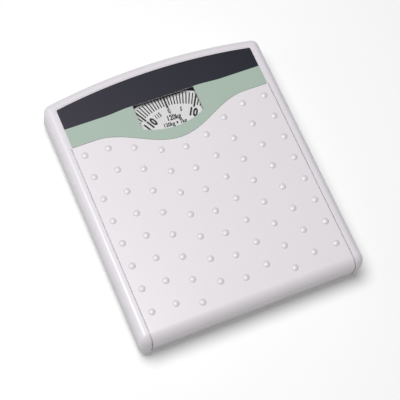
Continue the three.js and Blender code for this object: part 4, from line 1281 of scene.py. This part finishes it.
class SCALE_OT_pan(bpy.types.Operator):
    """Pressed base pan with its beads, the thumb wheel's slot and the rivets"""

    bl_idname = "scale.make_pan"
    bl_label = "Base pan"

    def execute(self, context):
        base = context.scene.scale_base
        inset = FRAME_HIGH.x - PAN_HIGH.x
        corner = context.scene.scale_cover.corner - inset
        low, high = PAN_LOW.z, PAN_HIGH.z
        bend = base.bend
        skin = Skin()
        loops = [skin.loop(closed_outline(inset, corner), high)]
        loops.append(skin.loop(closed_outline(inset, corner), (low + high) / 2))
        for degrees in range(0, 91, 15):
            a = math.radians(degrees)
            into = bend * (1 - math.cos(a))
            z = low + bend * (1 - math.sin(a))
            loops.append(skin.loop(closed_outline(inset + into, corner - into * 0.9), z))
        skin.stack(loops, closed=True)
        floor_edge = closed_outline(inset + bend, corner - bend * 0.9)
        holes = []
        for bead in BEADS:
            outer = rounded_rectangle(*bead)
            ridge = []
            for i in range(BEAD_STEPS + 1):
                a = math.pi * i / BEAD_STEPS
                into = shrunk(outer, BEAD_WIDTH * i / BEAD_STEPS)
                ridge.append(skin.loop(into, low + base.bead * math.sin(a) ** 1.5))
            skin.stack(ridge, closed=True)
            holes.append(outer)
            skin.fill(shrunk(outer, BEAD_WIDTH), [], low)
        skin.fill(floor_edge, holes, low)
        item = skin.body("pressed_pan", turned_in=True)
        thicken(item, base.sheet)
        wheel_middle = (WHEEL_LOW + WHEEL_HIGH) / 2
        margin = Vector((-0.5 * SLOT_MARGIN, SLOT_MARGIN, SLOT_MARGIN))
        slot_low = Vector((WHEEL_LOW.x, WHEEL_LOW.y, low)) - margin
        slot_high = Vector((WHEEL_HIGH.x, WHEEL_HIGH.y, low + base.sheet)) + margin
        rear_y = FRAME_HIGH.y - inset
        hole_middle = Vector((wheel_middle.x, rear_y, wheel_middle.z))
        rod = rod_along_y(hole_middle, SPINDLE_HOLE, 8 * MM)
        cutters = [block(slot_low, slot_high), rod]
        for cutter in cutters:
            cut = item.modifiers.new("cut", "BOOLEAN")
            cut.operation = "DIFFERENCE"
            cut.solver = "EXACT"
            cut.object = cutter
        settle(item)
        for cutter in cutters:
            bpy.data.objects.remove(cutter)
        hand_over(item, "pan_paint", "base", ["base_pan"])

        spots = []
        for name in ("crank_bracket", "rack_guide", "spring_bracket"):
            near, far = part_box(name)
            middle_y = (near.y + far.y) / 2
            if name == "spring_bracket":
                middle_y = near.y + 3 * MM
            spots += [(x, middle_y, low) for x in (near.x + 2.6 * MM, far.x - 2.6 * MM)]
        rivets = scatter("pan_rivets", spots)
        values = {"Radius": base.rivet, "Height": -RIVET_HEIGHT}
        grow(rivets, dome_group(), values | {"Material": finish_of("zinc_steel")})
        outward(rivets)
        rivets.data.shade_smooth()
        hand_over(rivets, "zinc_steel", "base")
        return {"FINISHED"}


# A foot's rim from its top downwards: how far in from the full radius, and the height.
FOOT_RIM = (
    (0.6 * MM, 3.6 * MM),
    (0.9 * MM, 3.2 * MM),
    (0.4 * MM, 2.8 * MM),
    (0.0, 1.9 * MM),
    (0.0, 1.3 * MM),
    (0.3 * MM, 0.5 * MM),
    (1.0 * MM, 0.08 * MM),
    (1.5 * MM, 0.0),
)

# Outer radii of the grooves in a sole, a groove's mouth, and the lean of each of its sides.
SOLE_GROOVES = (10.2 * MM, 7.6 * MM, 5.0 * MM)
GROOVE_MOUTH = 1.2 * MM
GROOVE_LEAN = 0.25 * MM
SOLE_BORE = 2.0 * MM


class SCALE_OT_feet(bpy.types.Operator):
    """Four rubber feet with grooved soles"""

    bl_idname = "scale.make_feet"
    bl_label = "Feet"

    def execute(self, context):
        deep = context.scene.scale_base.groove
        for place in ("front_left", "front_right", "rear_left", "rear_right"):
            low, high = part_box("foot_" + place)
            radius = (high.x - low.x) / 2
            centre = (low + high) / 2
            profile = [(SOLE_BORE, high.z)]
            profile += [(radius - 1.4 * MM, high.z), (radius - 1.0 * MM, high.z - 0.4 * MM)]
            profile += [(radius - into, z) for into, z in FOOT_RIM]
            for edge in SOLE_GROOVES:
                inner = edge - GROOVE_MOUTH
                profile += [(edge, 0.0), (edge - GROOVE_LEAN, deep)]
                profile += [(inner + GROOVE_LEAN, deep), (inner, 0.0)]
            profile += [(SOLE_BORE, 0.0), (SOLE_BORE - 0.1 * MM, 0.3 * MM)]
            profile += [(SOLE_BORE - 0.1 * MM, high.z - 0.2 * MM)]
            skin = Skin()
            lathe(skin, profile, centre, 64)
            item = skin.body("rubber_foot_" + place)
            settle(item, math.radians(50))
            hand_over(item, "foot_rubber", "base", ["foot_" + place])
        return {"FINISHED"}


WHEEL_BORE = 2.0 * MM
WHEEL_DISH = 0.6 * MM
WHEEL_EDGE = 0.5 * MM
FLUTE_DEPTH = 0.5 * MM


class SCALE_OT_wheel(bpy.types.Operator):
    """Fluted thumb wheel that sets the dial to zero"""

    bl_idname = "scale.make_wheel"
    bl_label = "Thumb wheel"

    def execute(self, context):
        flutes = context.scene.scale_base.flutes
        centre = (WHEEL_LOW + WHEEL_HIGH) / 2
        radius = (WHEEL_HIGH.x - WHEEL_LOW.x) / 2
        near, far = WHEEL_LOW.y, WHEEL_HIGH.y
        steps = flutes * 8
        skin = Skin()

        def band(reach, depth, y):
            points = []
            for i in range(steps):
                a = 2 * math.pi * i / steps
                cut = depth * max(0.0, math.cos(a * flutes)) ** 0.7
                r = reach - cut
                points.append((centre.x + r * math.cos(a), y, centre.z + r * math.sin(a)))
            return skin.loop(points)

        side = [
            (WHEEL_BORE, 0, WHEEL_DISH),
            (radius * 0.62, 0, WHEEL_DISH),
            (radius * 0.68, 0, 0),
            (radius - 0.9 * MM, 0, 0),
            (radius - 0.15 * MM, FLUTE_DEPTH * 0.6, WHEEL_EDGE),
            (radius, FLUTE_DEPTH, 2 * WHEEL_EDGE),
        ]
        loops = [band(reach, depth, near + into) for reach, depth, into in side]
        loops += [band(reach, depth, far - into) for reach, depth, into in reversed(side)]
        skin.stack(loops + loops[:1], closed=True)
        item = skin.body("thumb_wheel")
        settle(item, math.radians(45))
        hand_over(item, "grey_plastic", "adjuster_wheel", ["zero_wheel"])
        return {"FINISHED"}


TURN_STEPS = 22
WIRE_SIDES = 10
END_TURN = 0.62


def coil(skin, start, end, radius, wire, turns):
    """A round wire wound from start to end, with its first and last turn drawn in."""
    along = end - start
    axis = along.normalized()
    first = axis.orthogonal().normalized()
    second = axis.cross(first)
    steps = turns * TURN_STEPS
    loops = []
    for i in range(-1, steps + 2):
        part = min(max(i / steps, 0), 1)
        angle = 2 * math.pi * turns * part
        out = first * math.cos(angle) + second * math.sin(angle)
        forward = (axis.cross(out) * 2 * math.pi * turns * radius + along).normalized()
        across = forward.cross(out)
        drawn_in = END_TURN + (1 - END_TURN) * min(1, part * turns, (1 - part) * turns)
        spot = start + along * part + out * radius * drawn_in
        thick = wire if 0 <= i <= steps else 1e-7
        turned = (2 * math.pi * k / WIRE_SIDES for k in range(WIRE_SIDES))
        ring_points = [spot + (out * math.cos(a) + across * math.sin(a)) * thick for a in turned]
        loops.append(skin.loop(ring_points))
    skin.stack(loops, closed=True)


# Name, axis, wire radius, turns, play at the far end, and the two bodies that a spring joins.
SPRINGS = (
    ("main_spring", "Z", 0.9 * MM, 4, 2.4 * MM, "plate", "base"),
    ("cover_spring_left", "Z", 0.5 * MM, 7, 0, "base", "platform"),
    ("cover_spring_right", "Z", 0.5 * MM, 7, 0, "base", "platform"),
    ("return_spring", "Y", 0.35 * MM, 10, 0, "base", "rack_bar"),
)


class SCALE_OT_springs(bpy.types.Operator):
    """Springs, each stretched between the two bodies that it joins"""

    bl_idname = "scale.make_springs"
    bl_label = "Springs"

    def execute(self, context):
        for name, axis, wire, turns, play, near_body, far_body in SPRINGS:
            low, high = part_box(name)
            middle = (low + high) / 2
            start, end = middle.copy(), middle.copy()
            index = "XYZ".index(axis)
            start[index] = low[index] + wire
            end[index] = high[index] - wire - play
            skin = Skin()
            coil(skin, start, end, (high.x - low.x) / 2 - wire, wire, turns)
            item = skin.body(name + "_coil")
            item.data.shade_smooth()
            hand_over(item, "spring_steel", None, [name])
            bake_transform(item)
        return {"FINISHED"}


class SCALE_OT_finish(bpy.types.Operator):
    """Makes the finishes, and gives every part that keeps its own shape its finish"""

    bl_idname = "scale.make_finishes"
    bl_label = "Finishes"

    def execute(self, context):
        make_finishes()
        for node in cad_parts.values():
            for holder in node.material_slots:
                holder.material = finish_of(holder.material.name.split(".")[0])
        return {"FINISHED"}


# ---- studio ----------------------------------------------------------------------------------


LIGHT_AIM = Vector((0, 0, 0.02))

# Name, place, diameter and power.
LIGHTS = (
    ("overhead", (-0.44, 0.20, 2.0), 1.2, 42),
    ("left_side", (-2.2, 0.5, 1.1), 1.0, 3),
)


def soft_light(name, place, size, power):
    lamp = bpy.data.lights.new(name, "AREA")
    lamp.shape = "DISK"
    lamp.size = size
    lamp.energy = power
    item = bpy.data.objects.new(name, lamp)
    item.location = place
    aim = LIGHT_AIM - Vector(place)
    item.rotation_euler = aim.to_track_quat("-Z", "Y").to_euler()
    bpy.context.scene.collection.objects.link(item)


FLOOR_REACH = 6.0
FLOOR_DROP = 0.02 * MM
CAMERA_AZIMUTH = math.radians(-38.369)
CAMERA_ELEVATION = math.radians(66.199)
CAMERA_ROLL = math.radians(16.401)
CAMERA_DISTANCE = 1.29178
CAMERA_TARGET = (-0.009976, -0.020969)
CAMERA_LENS = 117


class SCALE_OT_stage(bpy.types.Operator):
    """Pale floor, soft light and the camera"""

    bl_idname = "scale.make_stage"
    bl_label = "Studio"

    def execute(self, context):
        scene = context.scene
        reach = FLOOR_REACH
        corners = [(-reach, -reach), (reach, -reach), (reach, reach), (-reach, reach)]
        mesh = bpy.data.meshes.new("floor")
        mesh.from_pydata([Vector((x, y, -FLOOR_DROP)) for x, y in corners], [], [(0, 1, 2, 3)])
        floor = bpy.data.objects.new("floor", mesh)
        scene.collection.objects.link(floor)
        material, tree, place = material_tree("studio_floor")
        tint = scene.scale_colours.floor
        body = tree.mix(tree.noise(place, 0.4), rgba(tint, 0.995), rgba(tint, 1.005))
        finish_shader(
            tree,
            Base_Color=body,
            Roughness=0.9,
            Specular_IOR_Level=0.1,
            Emission_Color=(1, 1, 1, 1),
            Emission_Strength=0.22,
        )
        mesh.materials.append(material)

        for light in LIGHTS:
            soft_light(*light)
        world = bpy.data.worlds.new("studio")
        scene.world = world
        world.use_nodes = True
        air = Tree(world.node_tree)
        glow = air.add("ShaderNodeBackground", {"Color": (1.0, 0.985, 1.0, 1), "Strength": 0.06})
        air.add("ShaderNodeOutputWorld", {"Surface": glow.outputs[0]})
        scene.view_settings.view_transform = "Standard"

        target = Vector((*CAMERA_TARGET, FRAME_HIGH.z))
        flat = math.cos(CAMERA_ELEVATION)
        sideways, forward = math.sin(CAMERA_AZIMUTH), math.cos(CAMERA_AZIMUTH)
        back = Vector((sideways * flat, -forward * flat, math.sin(CAMERA_ELEVATION)))
        level = back.to_track_quat("Z", "Y").to_matrix()
        turn = level @ Matrix.Rotation(CAMERA_ROLL, 3, "Z")
        lens = bpy.data.cameras.new("camera")
        lens.sensor_width = 36
        lens.lens = CAMERA_LENS
        lens.clip_start, lens.clip_end = 0.05, 30
        camera = bpy.data.objects.new("camera", lens)
        place = Matrix.Translation(target + back * CAMERA_DISTANCE)
        camera.matrix_world = place @ turn.to_4x4()
        scene.collection.objects.link(camera)
        scene.camera = camera
        return {"FINISHED"}


OPERATORS = (
    SCALE_OT_finish,
    SCALE_OT_stage,
    SCALE_OT_frame,
    SCALE_OT_tread,
    SCALE_OT_dots,
    SCALE_OT_label,
    SCALE_OT_window,
    SCALE_OT_dial,
    SCALE_OT_pan,
    SCALE_OT_feet,
    SCALE_OT_wheel,
    SCALE_OT_springs,
)

GROUPS = {
    "scale_cover": CoverSizes,
    "scale_dots": DotSizes,
    "scale_label": LabelSizes,
    "scale_dial": DialSizes,
    "scale_base": BaseSizes,
    "scale_colours": ScaleColours,
}


class SCALE_PT_panel(bpy.types.Panel):
    """Lists the scale's pieces and their sizes"""

    bl_idname = "SCALE_PT_panel"
    bl_label = "Dial Scale"
    bl_space_type = "VIEW_3D"
    bl_region_type = "UI"
    bl_category = "Dial Scale"

    def draw(self, context):
        for operator in OPERATORS:
            self.layout.operator(operator.bl_idname)
        for key, group in GROUPS.items():
            box = self.layout.box()
            box.label(text=key.replace("_", " ").capitalize())
            for name in group.__annotations__:
                box.prop(getattr(context.scene, key), name)


def register():
    for group in GROUPS.values():
        bpy.utils.register_class(group)
    for kind in (*OPERATORS, SCALE_PT_panel):
        bpy.utils.register_class(kind)
    for key, group in GROUPS.items():
        setattr(bpy.types.Scene, key, bpy.props.PointerProperty(type=group))


def unregister():
    for key in GROUPS:
        delattr(bpy.types.Scene, key)
    for kind in (SCALE_PT_panel, *reversed(OPERATORS)):
        bpy.utils.unregister_class(kind)
    for group in GROUPS.values():
        bpy.utils.unregister_class(group)


def call(operator):
    """Runs one operator through bpy.ops, by its name."""
    family, name = operator.bl_idname.split(".")
    getattr(getattr(bpy.ops, family), name)()


def main():
    register()
    for operator in OPERATORS:
        call(operator)


if __name__ == "__main__":
    main()
